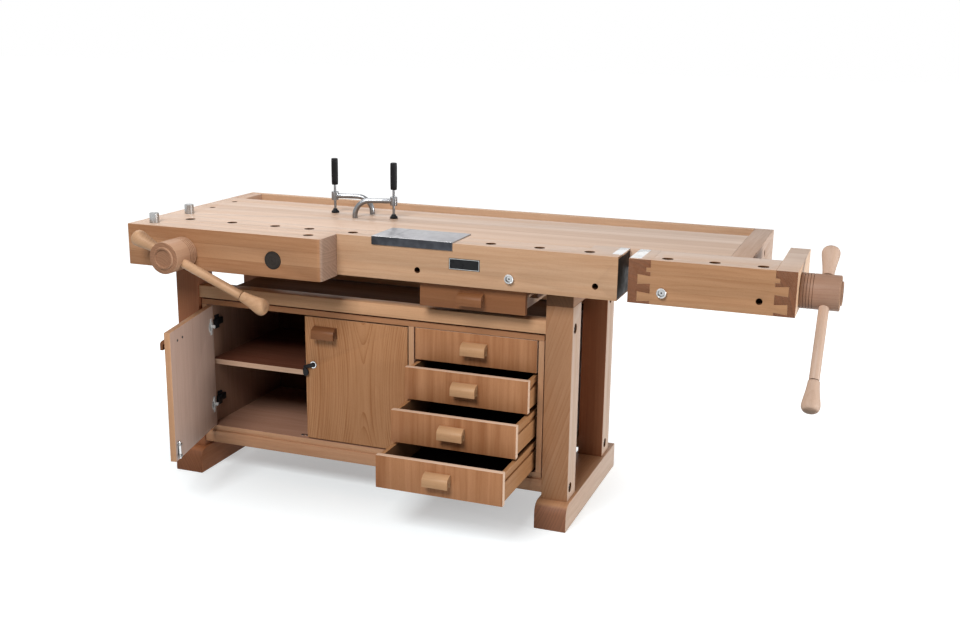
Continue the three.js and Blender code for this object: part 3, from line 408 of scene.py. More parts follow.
# The right foot's right face gets a paler copy of the beech: a painted sheen.
painted_sheen_foot_beech = beech("painted_sheen_foot_beech", (0.56, 0.385, 0.275), (0.44, 0.285, 0.195), ALONG_Y, shine=0.5)
foot_toe_radius = 33
for side in ("left", "right"):
    node = f"{side}_foot"
    low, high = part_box(node)
    foot = board(f"{node}_balk", low, high)

    def on_toe(a, b, low=low, high=high):
        return all(abs(p.y - low.y) < 1e-4 and abs(p.z - high.z) < 1e-4 for p in (a, b))

    round_over(foot, on_toe, foot_toe_radius)
    fit(ease(foot, 2.0), foot_beech if side == "right" else painted_shade_foot_beech, node=node)
    if side == "right":
        paint_faces(foot, painted_sheen_foot_beech, RIGHTWARD)

# Posts
# Four square beech posts stand on the feet. Each has two round recesses on its outer face, where bolts
# pass through into the ends of the stretchers.
post_beech = beech("post_beech", (0.40, 0.215, 0.115), (0.285, 0.13, 0.058), ALONG_Z, at(900, -400, 0),
                   ring=8.0, lines=0.8, streaks=0.5, wander=0.25, slant=(0, radians(-17), 0))
# All posts but the right front one get a darker copy of the post's beech: a painted shade.
painted_shade_post_beech = beech("painted_shade_post_beech", (0.30, 0.12, 0.055), (0.215, 0.075, 0.032), ALONG_Z,
                          at(900, -400, 0), ring=8.0, lines=0.6, streaks=0.5, wander=0.25)
# The right posts' outer faces get a paler copy of the beech: a painted sheen.
painted_sheen_post_beech = beech("painted_sheen_post_beech", (0.56, 0.385, 0.275), (0.44, 0.285, 0.195), ALONG_Z,
                        at(900, -400, 0), shine=0.5)
# Drilled holes get a very dark beech on their walls: a painted shade.
painted_bore_shade = beech("painted_bore_shade", (0.11, 0.05, 0.025), (0.07, 0.03, 0.014), ALONG_X, at(0, 200, 600),
                   shine=0.05)


def paint_bore_shade(piece, bores):
    """Paints shade on the walls of drilled holes, each given by a point of its axis, the axis and its
    radius.
    """
    def on_wall(face):
        for place, way, radius in bores:
            arm = face.center - place
            off_axis = arm - way * arm.dot(way)
            if abs(face.normal.dot(way)) < 0.3 and off_axis.length < (radius + 0.2) / 1000:
                return True
        return False

    paint_where(piece, painted_bore_shade, on_wall)


bolt_recess_radius = 15
bolt_recess_depth = 12
recess_mouth_play = 0.002
bolt_seats = {}
for side, outward in (("left", -1), ("right", 1)):
    for row in ("front", "rear"):
        node = f"{side}_{row}_post"
        low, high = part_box(node)
        post = board(f"{node}_beech", low, high)
        face = high.x if outward > 0 else low.x
        recesses = []
        for level in ("upper", "lower"):
            bar_low, bar_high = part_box(f"{row}_{level}_stretcher")
            middle = (bar_low + bar_high) / 2
            mouth = Vector((face + outward * recess_mouth_play, middle.y, middle.z))
            seat = Vector((face - outward * bolt_recess_depth / 1000, middle.y, middle.z))
            drill(post, mouth, seat, bolt_recess_radius)
            recesses.append((mouth, RIGHTWARD, bolt_recess_radius))
            bolt_seats[f"{side}_{row}_{level}_bolt"] = (seat, Vector((outward, 0, 0)))
        fit(ease(post, 2.0), post_beech if node == "right_front_post" else painted_shade_post_beech, node=node)
        if side == "right":
            paint_faces(post, painted_sheen_post_beech, RIGHTWARD, face)
        paint_bore_shade(post, recesses)

# Bolts
# Steel bolts with washers, sunk in the recesses. They draw the posts against the stretchers and the end
# cap against the slab, and come undone for moving the bench.


def disc(name, radius, height, sides):
    """A round face at a height, in millimetres, left open for editing with all of it selected."""
    bpy.ops.mesh.primitive_circle_add(vertices=sides, radius=radius / 1000, fill_type="NGON")
    piece = bpy.context.object
    piece.name = name
    piece.location.z = height / 1000
    apply_moves()
    edit_all()
    return piece


def push(way):
    """Draws new walls out of what is selected, along a way in metres."""
    bpy.ops.mesh.extrude_region_move(TRANSFORM_OT_translate={"value": way})


def close_edit():
    """Turns all faces outwards and ends the editing."""
    bpy.ops.mesh.select_all(action="SELECT")
    bpy.ops.mesh.normals_make_consistent(inside=False)
    bpy.ops.object.mode_set(mode="OBJECT")


def turned(name, profile, start, toward, sides=48, smooth=35):
    """A form turned about an axis, from points of (radius, height) in millimetres above its start."""
    radius, height = profile[0]
    piece = disc(name, radius, height, sides)
    for next_radius, next_height in profile[1:]:
        push((0, 0, (next_height - height) / 1000))
        grow = next_radius / radius
        bpy.ops.transform.resize(value=(grow, grow, 1), center_override=(0, 0, next_height / 1000))
        radius, height = next_radius, next_height
    close_edit()
    bpy.ops.object.shade_smooth_by_angle(angle=radians(smooth))
    set_along(piece, start, toward)
    return piece


def metal(name, colour, roughness, streak=(40.0, 40.0, 40.0), scratch=0.06, blotch=0.12):
    """Bare or plated steel with fine tool marks that run along the slow axis of the streak."""
    finish, tree, shader, place = new_finish(name)
    shader.inputs["Metallic"].default_value = 1.0
    coords = place.outputs["Object"]
    mapped = wired(tree, "ShaderNodeMapping", inputs={"Vector": coords, "Scale": streak})
    marks = wired(tree, "ShaderNodeTexNoise", inputs={
        "Vector": mapped.outputs[0], "Scale": 12.0, "Detail": 3.0, "Roughness": 0.6})
    patches = wired(tree, "ShaderNodeTexNoise", inputs={
        "Vector": coords, "Scale": 45.0, "Detail": 3.0, "Roughness": 0.5})
    dull = tuple(0.72 * part for part in colour)
    share = spread(tree, patches.outputs["Fac"], 0.0, blotch * 4, 0.4, 0.75)
    shade = tint(tree, share, (*colour, 1), (*dull, 1))
    rough = spread(tree, marks.outputs["Fac"], roughness * 0.75, roughness * 1.3, 0.3, 0.7)
    wire_shader(tree, shader, shade, rough, marks.outputs["Fac"], scratch, 0.0003)
    return finish


bolt_steel = metal("bolt_steel", (0.09, 0.085, 0.08), 0.4)
bolt_profile = [(11.0, 0.1), (11.0, 1.6), (10.4, 2.2), (7.2, 2.2), (7.2, 7.6), (6.4, 8.6), (4.2, 8.6),
                (4.0, 4.4), (2.0, 4.2)]


def sunk_bolt(name, seat, way):
    """A bolt head on its washer, seated at the bottom of a recess."""
    bolt = turned(name, bolt_profile, seat, way, sides=36, smooth=30)
    fit(bolt, bolt_steel)


for name, (seat, way) in bolt_seats.items():
    sunk_bolt(name, seat, way)

# Top beams
# A short beech beam lies across each pair of posts and carries the slab. Its front end is cut lower, so
# that the deep apron rests on it.
beam_beech = beech("beam_beech", (0.40, 0.21, 0.11), (0.29, 0.135, 0.06), ALONG_Y,
                   end=(0.12, 0.055, 0.025))
apron_low, apron_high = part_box("front_apron")
apron_back = at(0, 100.3, 0).y
housing_play = 0.01
for side in ("left", "right"):
    node = f"{side}_top_beam"
    low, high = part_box(node)
    beam = board(f"{node}_beech", low, high)
    housing_low = Vector((low.x, low.y, apron_low.z)) - Vector((housing_play, housing_play, 0))
    housing_high = Vector((high.x, apron_back, high.z)) + Vector((housing_play, 0, housing_play))
    cut_away(beam, board("housing", housing_low, housing_high))
    fit(ease(beam, 1.5), beam_beech, node=node)

# Stretchers
# Four beech rails tie the trestles together. The lower pair carries the cabinet, and bolts run into
# their ends through the posts.
rail_beech = beech("rail_beech", (0.46, 0.25, 0.14), (0.34, 0.16, 0.08), ALONG_X, at(0, 420, -60))
# The upper rails get a paler copy of the rails' beech: painted light against the shade under the apron.
painted_light_rail_beech = beech("painted_light_rail_beech", (0.63, 0.37, 0.21), (0.51, 0.275, 0.145), ALONG_X,
                         at(0, 420, -60), shine=0.1)
for row in ("front", "rear"):
    for level, finish in (("upper", painted_light_rail_beech), ("lower", rail_beech)):
        node = f"{row}_{level}_stretcher"
        fit(ease(board(f"{node}_beech", *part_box(node)), 1.5), finish, node=node)

# Cabinet carcass
# A box of veneered boards stands on the lower stretchers, with lipping glued along its front edges. The
# beech strips on which the drawers run are screwed to the two walls of the drawers' bay.
TO_FRONT = Vector((0, -1, 0))
flat_veneer = beech("flat_veneer", (0.42, 0.23, 0.157), (0.33, 0.168, 0.108), ALONG_X, ring=14.0)
# The shelf gets a much darker veneer: a painted shade inside the cabinet.
painted_shade_shelf_veneer = beech("painted_shade_shelf_veneer", (0.17, 0.062, 0.037), (0.125, 0.043, 0.024), ALONG_X, ring=14.0,
                     shine=0.05)
upright_veneer = beech("upright_veneer", (0.40, 0.235, 0.165), (0.30, 0.165, 0.105), ALONG_Z, ring=14.0)
lipping_flat = beech("lipping_flat", (0.49, 0.28, 0.16), (0.38, 0.195, 0.105), ALONG_X)
shelf_lipping = beech("shelf_lipping", (0.60, 0.41, 0.29), (0.49, 0.31, 0.21), ALONG_X)
lipping_upright = beech("lipping_upright", (0.54, 0.31, 0.175), (0.41, 0.21, 0.11), ALONG_Z)
# The cabinet top's panel and its lipping get darker copies of the veneer: a painted shade under the bench
# top.
painted_shade_top_veneer = beech("painted_shade_top_veneer", (0.26, 0.125, 0.065), (0.18, 0.08, 0.035), ALONG_X, gloss=0.65,
                      shine=0.05)
painted_shade_top_lipping = beech("painted_shade_top_lipping", (0.41, 0.20, 0.10), (0.325, 0.145, 0.068), ALONG_X, shine=0.1)
# The back panel's inner face gets a very dark veneer: a painted shade inside the cabinet.
painted_shade_back_veneer = beech("painted_shade_back_veneer", (0.10, 0.042, 0.022), (0.07, 0.028, 0.014), ALONG_Z, ring=14.0,
                    shine=0.05)
runner_beech = beech("runner_beech", (0.36, 0.20, 0.11), (0.26, 0.125, 0.06), ALONG_Y)
carcass = {
    "cabinet_bottom": (flat_veneer, lipping_flat),
    "cabinet_top": (painted_shade_top_veneer, painted_shade_top_lipping),
    "cabinet_shelf": (painted_shade_shelf_veneer, shelf_lipping),
    "cabinet_left_side": (upright_veneer, lipping_upright),
    "cabinet_right_side": (upright_veneer, lipping_upright),
    "cabinet_divider": (upright_veneer, lipping_upright),
    "cabinet_back": (upright_veneer, painted_shade_back_veneer),
}


def on_door_bolt(level):
    """A point of the axis of the left door's bolt when that door is shut."""
    return at(493.5, 102.3, level)


strike_place = on_door_bolt(158)
strike_bore_radius = 4.5
strike_bore_depth = 0.012
runner_width = 0.0113
runner_height = 0.010
runner_below_front_top = 0.029
runner_start, runner_end = at(0, 100, 0).y, at(0, 537, 0).y
for node, (veneer, lipping) in carcass.items():
    low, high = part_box(node)
    if node == "cabinet_divider":
        high.x -= runner_width
    if node == "cabinet_right_side":
        low.x += runner_width
    panel = board(f"{node}_panel", low, high)
    if node == "cabinet_bottom":
        drill(panel, strike_place + UPWARD * 0.002, strike_place - UPWARD * strike_bore_depth,
              strike_bore_radius, sides=32)
    ease(panel, 0.6, segments=1)
    fit(panel, veneer, node=node)
    # The second finish goes on the front faces: lipping, darkened by painted shade on the top, and on the
    # back panel a painted shade over its inner face.
    paint_faces(panel, lipping, TO_FRONT)
bay_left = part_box("cabinet_divider")[1].x - runner_width
bay_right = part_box("cabinet_right_side")[0].x + runner_width
for row in (1, 2, 3, 4):
    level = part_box(f"drawer_{row}")[1].z - runner_below_front_top
    for node, left in (("cabinet_divider", bay_left), ("cabinet_right_side", bay_right - runner_width)):
        strip_low = Vector((left, runner_start, level - runner_height / 2))
        strip_high = Vector((left + runner_width, runner_end, level + runner_height / 2))
        strip = board(f"{node}_runner_{row}", strip_low, strip_high)
        fit(ease(strip, 0.6), runner_beech, node=node)

# Doors
# Two inset doors of veneered board with solid lipping round their edges. The right one is closed, and the
# left one stands open and shows a paler inner face. Each has a beech pull, screwed on from behind.
TO_BACK = Vector((0, 1, 0))
door_inner_veneer = beech("door_inner_veneer", (0.54, 0.385, 0.315), (0.43, 0.29, 0.23), ALONG_Z,
                          at(900, -300, 300), ring=24.0, lines=0.2, shine=0.4)
pull_beech = beech("pull_beech", (0.54, 0.315, 0.168), (0.435, 0.235, 0.113), ALONG_X, at(0, 200, 300),
                   ring=7.0)
# The door pulls get a darker copy of the pulls' beech: a painted shade.
painted_shade_pull_beech = beech("painted_shade_pull_beech", (0.21, 0.085, 0.034), (0.15, 0.055, 0.02), ALONG_X,
                        at(0, 200, 300))
door_thickness = 0.019
pull_width, pull_depth, pull_height = 0.079, 0.029, 0.037
pull_groove_height = 19


def copied(piece, name, shift):
    """A second piece like the first, with a mesh of its own, moved to its place."""
    twin = piece.copy()
    twin.data = piece.data.copy()
    twin.name = name
    bpy.context.scene.collection.objects.link(twin)
    twin.data.transform(Matrix.Translation(shift))
    return twin


def sawn(name, outline, axis, start, end):
    """A board sawn to an outline in millimetres, as long along one axis as its two ends are apart."""
    bpy.ops.mesh.primitive_circle_add(vertices=len(outline), radius=1, fill_type="NGON")
    piece = bpy.context.object
    piece.name = name
    for corner, (u, v) in zip(piece.data.vertices, outline):
        corner.co = at(*((start, u, v), (u, start, v), (u, v, start))[axis])
    way = [0, 0, 0]
    way[axis] = (end - start) / 1000
    edit_all()
    push(way)
    close_edit()
    return piece


def wooden_pull(name, x, y, z):
    """A block with an elliptic back and a finger groove ploughed along it from below, on a face at y."""
    depth, half_width, half_height = 1000 * pull_depth, 500 * pull_width, 500 * pull_height
    lip = depth / 3
    bottom = z - half_height
    groove_top = bottom + pull_groove_height
    lip_back = y - depth + lip
    outline = []
    for step in range(11):
        turn = radians(9 * step)
        outline.append((y - depth * sin(turn), z + half_height * cos(turn)))
    outline += [(y - depth, bottom), (lip_back, bottom), (lip_back, groove_top), (y - lip / 2, groove_top),
                (y - lip / 2, bottom), (y, bottom), (y, z)]
    return ease(sawn(name, outline, ALONG_X, x - half_width, x + half_width), 1.2)


hinge_edge = 155.3
door_front = 79
door_back = 98
closed_low = at(hinge_edge, door_front, 161)
closed_high = at(514.5, door_back, 571)
right_low = at(517.5, door_front, 162.5)
right_high = at(873.2, door_back, 569.5)
door_hinge = at(hinge_edge, door_front, 0)
door_swing = radians(-77.5)
swing_turn = Matrix.Rotation(door_swing, 4, "Z")
swung = Matrix.Translation(door_hinge) @ swing_turn @ Matrix.Translation(-door_hinge)
door_pull_from_edge = 0.0735
door_pull_level = at(0, 0, 524).z
lock_x = 544.5
lock_level = 412
lock_bore_radius = 9.5
lock_bore_depth = 0.021


def lip_edges(piece, upright, flat):
    """Solid lipping on the four edges of a veneered board."""
    for way in (-RIGHTWARD, RIGHTWARD):
        paint_faces(piece, upright, way)
    for way in (-UPWARD, UPWARD):
        paint_faces(piece, flat, way)


def dress_door(door, node, heart):
    """Veneer with arching lines on a door's front, a paler one on its inner face, and lipping round it."""
    veneer = beech(f"{node}_veneer", (0.465, 0.238, 0.113), (0.29, 0.12, 0.045), ALONG_Z, heart, ring=8.0,
                   lines=1.1, streaks=0.45, wander=0.3, bow=-0.45)
    fit(ease(door, 1.0), veneer, node, node)
    lip_edges(door, lipping_upright, lipping_flat)
    paint_faces(door, door_inner_veneer, TO_BACK)


right_door = board("right_door_board", right_low, right_high)
lock_place = at(lock_x, door_front, lock_level)
drill(right_door, lock_place + TO_FRONT * 0.002, lock_place + TO_BACK * lock_bore_depth, lock_bore_radius)
dress_door(right_door, "right_door", at(722, 111, 361))
right_pull_seat = Vector((right_low.x + door_pull_from_edge, right_low.y, door_pull_level))
right_pull_place = (right_pull_seat - DATUM) * 1000
right_pull = wooden_pull("right_door_pull", *right_pull_place)


def pull_at(name, seat):
    """A pull like the right door's, against another seat."""
    return copied(right_pull, name, seat - right_pull_seat)


left_door = board("left_door_board", closed_low, closed_high)
dress_door(left_door, "left_door", swung @ at(345, 111, 361))
left_door.data.transform(swung)
left_pull_seat = Vector((closed_high.x - door_pull_from_edge, closed_low.y, door_pull_level))
left_pull = pull_at("left_door_pull", left_pull_seat)
left_pull.data.transform(swung)
fit(left_pull, painted_shade_pull_beech, "left_door", "left_door")
fit(right_pull, painted_shade_pull_beech, "right_door", "right_door")

# Door fittings
# Cup hinges of pressed steel with black arms, the screws that hold a pull, a steel surface bolt with its
# strike plate, and a cam lock with a steel ring, whose key has a black folding head.
bright_steel = metal("bright_steel", (0.78, 0.78, 0.78), 0.22)
satin_steel = metal("satin_steel", (0.34, 0.34, 0.34), 0.3)
dark_screw_steel = metal("dark_screw_steel", (0.10, 0.09, 0.085), 0.45)


def moulded(name, colour, roughness, grain=900.0):
    """Plastic or plating with a fine even texture."""
    finish, tree, shader, place = new_finish(name)
    shader.inputs["Specular IOR Level"].default_value = 0.14
    coords = place.outputs["Object"]
    pores = wired(tree, "ShaderNodeTexNoise", inputs={
        "Vector": coords, "Scale": grain, "Detail": 2.0, "Roughness": 0.6})
    wear = wired(tree, "ShaderNodeTexNoise", inputs={"Vector": coords, "Scale": 60.0, "Detail": 3.0})
    worn = tuple(1.7 * part + 0.004 for part in colour)
    share = spread(tree, wear.outputs["Fac"], 0.0, 0.6, 0.45, 0.75)
    shade = tint(tree, share, (*colour, 1), (*worn, 1))
    rough = spread(tree, wear.outputs["Fac"], roughness - 0.06, roughness + 0.1, 0.3, 0.7)
    wire_shader(tree, shader, shade, rough, pores.outputs["Fac"], 0.12, 0.0003)
    return finish


black_plastic = moulded("black_plastic", (0.012, 0.012, 0.013), 0.42)
zinc_plating = moulded("zinc_plating", (0.55, 0.55, 0.54), 0.35)
hinge_levels = (238, 504)
hinge_cup_from_edge = 24
cup_bore_radius = 17.2
cup_bore_depth = 0.0105
hinge_wall = 155.1
cup_profile = [(17.0, -10.0), (17.0, 0.1), (19.0, 0.1), (19.0, 1.0), (18.4, 1.4), (15.0, 1.4),
               (14.0, -7.0), (2.0, -7.5)]
knuckle_profile = [(5.4, -6.0), (5.6, 12.0), (5.0, 13.0), (3.0, 13.0)]
for number, level in enumerate(hinge_levels, 1):
    cup_place = at(hinge_edge + hinge_cup_from_edge, door_back, level)
    drill(left_door, swung @ (cup_place + TO_BACK * 0.002), swung @ (cup_place - TO_BACK * cup_bore_depth),
          cup_bore_radius)
    cup = turned(f"hinge_cup_{number}", cup_profile, cup_place, TO_BACK)
    wing = ease(board(f"hinge_wing_{number}", cup_place + Vector((-0.006, 0.0002, -0.027)),
                      cup_place + Vector((0.006, 0.0030, 0.027))), 0.5)
    knuckle = turned(f"hinge_knuckle_{number}", knuckle_profile, cup_place - RIGHTWARD * 0.004, TO_BACK)
    for part in (cup, wing, knuckle):
        part.data.transform(swung)
        fit(part, zinc_plating, "left_door")
    arm = board(f"hinge_arm_{number}", at(hinge_wall, 103, level - 11), at(168, 160, level + 11))
    cut_away(arm, board("slope_tool", at(163, 128, level - 20), at(175, 170, level + 20)))
    fit(ease(arm, 1.5), black_plastic)
    mount = board(f"hinge_mount_{number}", at(hinge_wall, 118, level - 23), at(159.5, 142, level + 23))
    fit(ease(mount, 1.2), black_plastic)

screw_profile = [(4.2, 0.05), (4.2, 0.8), (3.4, 1.9), (1.9, 2.3), (1.7, 1.2), (0.5, 1.1)]
pull_screw_rise = 0.010
for number, offset in enumerate((-20, 20), 1):
    place = left_pull_seat + Vector((offset / 1000, door_thickness, pull_screw_rise))
    pull_screw = turned(f"pull_screw_{number}", screw_profile, place, TO_BACK, sides=20)
    pull_screw.data.transform(swung)
    fit(pull_screw, dark_screw_steel, "left_door")

keep_bore_radius = 4.3
bolt_parts = [(board("door_bolt_plate", at(484, 98.1, 165), at(503, 98.28, 222)), 0.08)]
for number, level in enumerate((171, 208), 1):
    keep = board(f"door_bolt_keep_{number}", at(486.5, 98.2, level), at(500.5, 108.2, level + 7))
    drill(keep, on_door_bolt(level - 20), on_door_bolt(level + 20), keep_bore_radius, sides=32)
    bolt_parts.append((keep, 0.9))
for part, arris_width in bolt_parts:
    ease(part, arris_width)
    part.data.transform(swung)
    fit(part, satin_steel, "left_door")
bolt_rod_profile = [(3.2, 0.0), (4.0, 1.2), (4.0, 54.2), (3.4, 55.0)]
bolt_rod = turned("door_bolt_rod", bolt_rod_profile, on_door_bolt(166), UPWARD, sides=32)
bolt_rod.data.transform(swung)
fit(bolt_rod, bright_steel, "door_bolt", "door_bolt")
strike = board("strike_plate", at(480, 98.5, 158.02), at(507, 110, 158.9))
drill(strike, strike_place + UPWARD * 0.003, strike_place - UPWARD * 0.003, strike_bore_radius, sides=32)
fit(ease(strike, 0.3), bright_steel)

lock_profile = [(9.0, 0.0), (9.0, 22.5), (11.5, 22.6), (11.5, 24.0), (10.8, 24.8), (8.6, 24.8), (8.2, 24.0),
                (1.0, 24.0)]
lock_barrel = turned("lock_barrel", lock_profile, at(lock_x, 101.3, lock_level), TO_FRONT)
cut_away(lock_barrel, board("key_slot", at(543.6, 70, 408), at(545.4, 79.5, 416)))
fit(lock_barrel, dark_screw_steel, "door_lock", "door_lock")
paint_faces(lock_barrel, bright_steel, TO_FRONT)
lock_cam = ease(board("lock_cam", at(502.5, 98.3, 405), at(553.5, 101.3, 419)), 0.8)
fit(lock_cam, black_plastic, "door_lock", "door_lock")
lock_face_profile = [(8.1, 0.0), (8.1, 1.1), (7.4, 1.6), (1.0, 1.6)]
lock_face = turned("lock_face", lock_face_profile, at(lock_x, 77.4, lock_level), TO_FRONT)
fit(lock_face, black_plastic, "door_lock")
stem_outline = [(550, 407.5), (550, 417), (541, 418.5), (524, 412), (512.5, 408.5), (512.5, 402.5),
                (526, 401.5), (541, 404.5)]
key_stem = sawn("key_stem", stem_outline, ALONG_Y, 70.5, 75.6)
fit(ease(key_stem, 0.9), black_plastic, "door_lock")
head_outline = [(514, 405), (522, 401), (529.5, 394), (530, 381), (525, 375), (516, 374), (511, 381),
                (510.5, 396)]
key_head = sawn("key_head", head_outline, ALONG_Y, 68.4, 74.2)
fit(ease(key_head, 1.6), black_plastic, "door_lock")

# Drawers
# Four drawers run on the strips of the right bay, in grooves of their sides. Each has a veneered front
# with the grain upright and pale lipping, a box of beech boards darkened inside by a painted shade, a dark
# hardboard floor and a beech pull.
pale_lipping_flat = beech("pale_lipping_flat", (0.78, 0.57, 0.43), (0.66, 0.45, 0.32), ALONG_X)
pale_lipping_upright = beech("pale_lipping_upright", (0.78, 0.57, 0.43), (0.66, 0.45, 0.32), ALONG_Z)
drawer_veneer = beech("drawer_veneer", (0.455, 0.215, 0.10), (0.275, 0.105, 0.038), ALONG_Z, at(600, 400, 0),
                      ring=14.0, lines=0.25, streaks=1.2, fineness=0.45)
drawer_side_beech = beech("drawer_side_beech", (0.39, 0.20, 0.09), (0.295, 0.135, 0.055), ALONG_Y,
                          at(700, 0, 900))
# The drawers' backs and the inner faces of their walls get a dark beech: a painted shade inside the boxes.
painted_shade_drawer_inside = beech("painted_shade_drawer_inside", (0.20, 0.10, 0.05), (0.14, 0.065, 0.03), ALONG_X, gloss=0.65,
                          shine=0.05)
dark_hardboard = moulded("dark_hardboard", (0.010, 0.006, 0.005), 0.8, grain=350.0)
side_wall = 0.012
floor_thickness = 0.007
front_overlap = 0.002
box_above_front_foot = 0.008
box_below_front_top = 0.006
groove_depth = 0.0058
groove_height = 0.011
plough_play = 0.001
pull_rise = 0.004


def box_back_and_floor(node, left, right, base, top, inner, back, back_beech):
    """The back board of a drawer's box, and the hardboard floor between its walls."""
    left += side_wall
    right -= side_wall
    back_face = back - side_wall
    back_board = board(f"{node}_back", Vector((left, back_face, base)), Vector((right, back, top)))
    fit(ease(back_board, 0.8), back_beech, node, node)
    floor_high = Vector((right, back_face, base + floor_thickness))
    floor = board(f"{node}_floor", Vector((left, inner, base)), floor_high)
    fit(ease(floor, 0.3), dark_hardboard, node, node)


for node in ("drawer_1", "drawer_2", "drawer_3", "drawer_4"):
    low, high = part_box(node)
    face = low.y + pull_depth
    inner = face + door_thickness
    back = high.y
    front = board(f"{node}_front", Vector((low.x, face, low.z)), Vector((high.x, inner, high.z)))
    fit(ease(front, 0.9), drawer_veneer, node, node)
    lip_edges(front, pale_lipping_upright, pale_lipping_flat)
    box_left = low.x + front_overlap
    box_right = high.x - front_overlap
    box_low = low.z + box_above_front_foot
    box_high = high.z - box_below_front_top
    groove_level = high.z - runner_below_front_top
    for side, left, groove_left, inside in (
            ("left", box_left, box_left - plough_play, RIGHTWARD),
            ("right", box_right - side_wall, box_right - groove_depth, -RIGHTWARD)):
        wall = board(f"{node}_{side}_wall", Vector((left, inner, box_low)),
                     Vector((left + side_wall, back, box_high)))
        plough_low = Vector((groove_left, inner - plough_play, groove_level - groove_height / 2))
        plough_high = Vector((groove_left + groove_depth + plough_play, back + plough_play,
                              groove_level + groove_height / 2))
        cut_away(wall, board("plough", plough_low, plough_high))
        fit(ease(wall, 0.8), drawer_side_beech, node, node)
        paint_faces(wall, painted_shade_drawer_inside, inside)
    box_back_and_floor(node, box_left, box_right, box_low, box_high, inner, back, painted_shade_drawer_inside)
    seat = Vector(((low.x + high.x) / 2, face, (low.z + high.z) / 2 + pull_rise))
    fit(pull_at(f"{node}_pull", seat), pull_beech, node, node)

# Upper drawer and its hanger
# A shallow beech drawer hangs under the top between two ledged rails, which are screwed up to the slab.
# Flanges along its sides slide on the ledges.
# The upper drawer's front, back and pull get a dark copy of the beech: a painted shade under the top.
upper_beech = beech("upper_beech", (0.25, 0.105, 0.043), (0.19, 0.072, 0.027), ALONG_X, at(0, 320, 420))
# Its walls and flanges get a paler copy of the beech: painted light.
painted_light_upper_side_beech = beech("painted_light_upper_side_beech", (0.60, 0.41, 0.29), (0.48, 0.30, 0.20), ALONG_Y)
upper_wall_gap = 0.015
upper_edge_gap = 0.006
flange_foot_from_top = 0.024
flange_head_from_top = 0.016
flange_from_front = 0.012
node = "upper_drawer"
low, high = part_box(node)
face = low.y + pull_depth
inner = face + door_thickness
upper_front = board(f"{node}_front", Vector((low.x, face, low.z)), Vector((high.x, inner, high.z)))
fit(ease(upper_front, 1.5), upper_beech, node, node)
box_left = low.x + upper_wall_gap
box_right = high.x - upper_wall_gap
box_low = low.z + upper_edge_gap
box_high = high.z - upper_edge_gap
for side, left, right in (("left", box_left, box_left + side_wall),
                          ("right", box_right - side_wall, box_right)):
    wall = board(f"{node}_{side}_wall", Vector((left, inner, box_low)), Vector((right, high.y, box_high)))
    fit(ease(wall, 0.8), painted_light_upper_side_beech, node, node)
for side, left, right in (("left", low.x, box_left), ("right", box_right, high.x)):
    flange_low = Vector((left, inner + flange_from_front, high.z - flange_foot_from_top))
    flange_high = Vector((right, high.y, high.z - flange_head_from_top))
    fit(ease(board(f"{node}_{side}_flange", flange_low, flange_high), 0.6), painted_light_upper_side_beech, node, node)
box_back_and_floor(node, box_left, box_right, box_low, box_high, inner, high.y, upper_beech)
upper_pull_seat = Vector(((low.x + high.x) / 2, face, (low.z + high.z) / 2))
fit(pull_at(f"{node}_pull", upper_pull_seat), upper_beech, node, node)

hanger_outline = [(927.7, 695.7), (953.9, 695.7), (953.9, 707.7), (939.7, 707.7), (939.7, 793),
                  (1272.3, 793), (1272.3, 707.7), (1258.1, 707.7), (1258.1, 695.7), (1284.3, 695.7),
                  (1284.3, 805), (927.7, 805)]
hanger = ease(sawn("upper_drawer_rails", hanger_outline, ALONG_Y, 100, 439), 0.8)
fit(hanger, beam_beech, node="upper_drawer_hanger")

# Bench top
# The slab is glued up from long beech strips on edge. It has a cross row of holes at the left, two holes
# for the hold-downs, and a corner cut out for the tail vise.
top_level = 860
past_top = 865
top_beech = beech("top_beech", (0.66, 0.46, 0.335), (0.54, 0.35, 0.235), ALONG_X, at(0, 320, 400),
                  stave=(1, 39.3), lines=0.3, streaks=0.5, gloss=0.38, shine=0.5)
slab_outline = [(0, 100), (1440, 100), (1440, 145), (1832, 145), (1832, 493), (0, 493)]
slab = sawn("bench_top_slab", slab_outline, ALONG_Z, 805, top_level)
slab_holes = [(64, 139, 15.5), (64, 277.5, 10.0), (64, 416, 10.0), (614, 380, 9.0), (595, 289, 9.0)]
for x, y, radius in slab_holes:
    drill(slab, at(x, y, 800), at(x, y, past_top), radius)
fit(ease(slab, 1.0), top_beech, node="bench_top")
paint_bore_shade(slab, [(at(x, y, top_level), UPWARD, radius) for x, y, radius in slab_holes])

# Apron
# The deep front beam carries the row of dog holes and the side holes for pegs. Its right end is wider and
# is the fixed jaw of the tail vise, with a steel plate let into its corner and a dark lining on its face.
apron_beech = beech("apron_beech", (0.57, 0.355, 0.22), (0.45, 0.25, 0.135), ALONG_X, at(0, 380, 560),
                    lines=0.5)
beam_bottom = 735
apron_end = 1545
dog_hole_radius = 15.5
peg_level = 771
peg_bore_radius = 9.0
screw_bore_radius = 14.5
apron_guide_radius = 15.5
plate_gauge = 3
plate_drop = 6
lining_gauge = 2.5


def dog_holes(piece, row, y, foot):
    """Drills a row of dog holes down through a beam, and gives their axes."""
    for x in row:
        drill(piece, at(x, y, foot), at(x, y, past_top), dog_hole_radius)
    return [(at(x, y, top_level), UPWARD, dog_hole_radius) for x in row]


def peg_holes(piece, row):
    """Drills a row of peg holes into a beam's front, and gives their axes."""
    for x in row:
        drill(piece, at(x, -2, peg_level), at(x, 45, peg_level), peg_bore_radius)
    return [(at(x, 0, peg_level), TO_BACK, peg_bore_radius) for x in row]


def on_front_screw(y):
    """A point of the axis of the front vise's screw."""
    return at(202, y, 784)


def on_front_guide(y):
    """A point of the axis of the front vise's guide bar."""
    return at(514, y, 784)


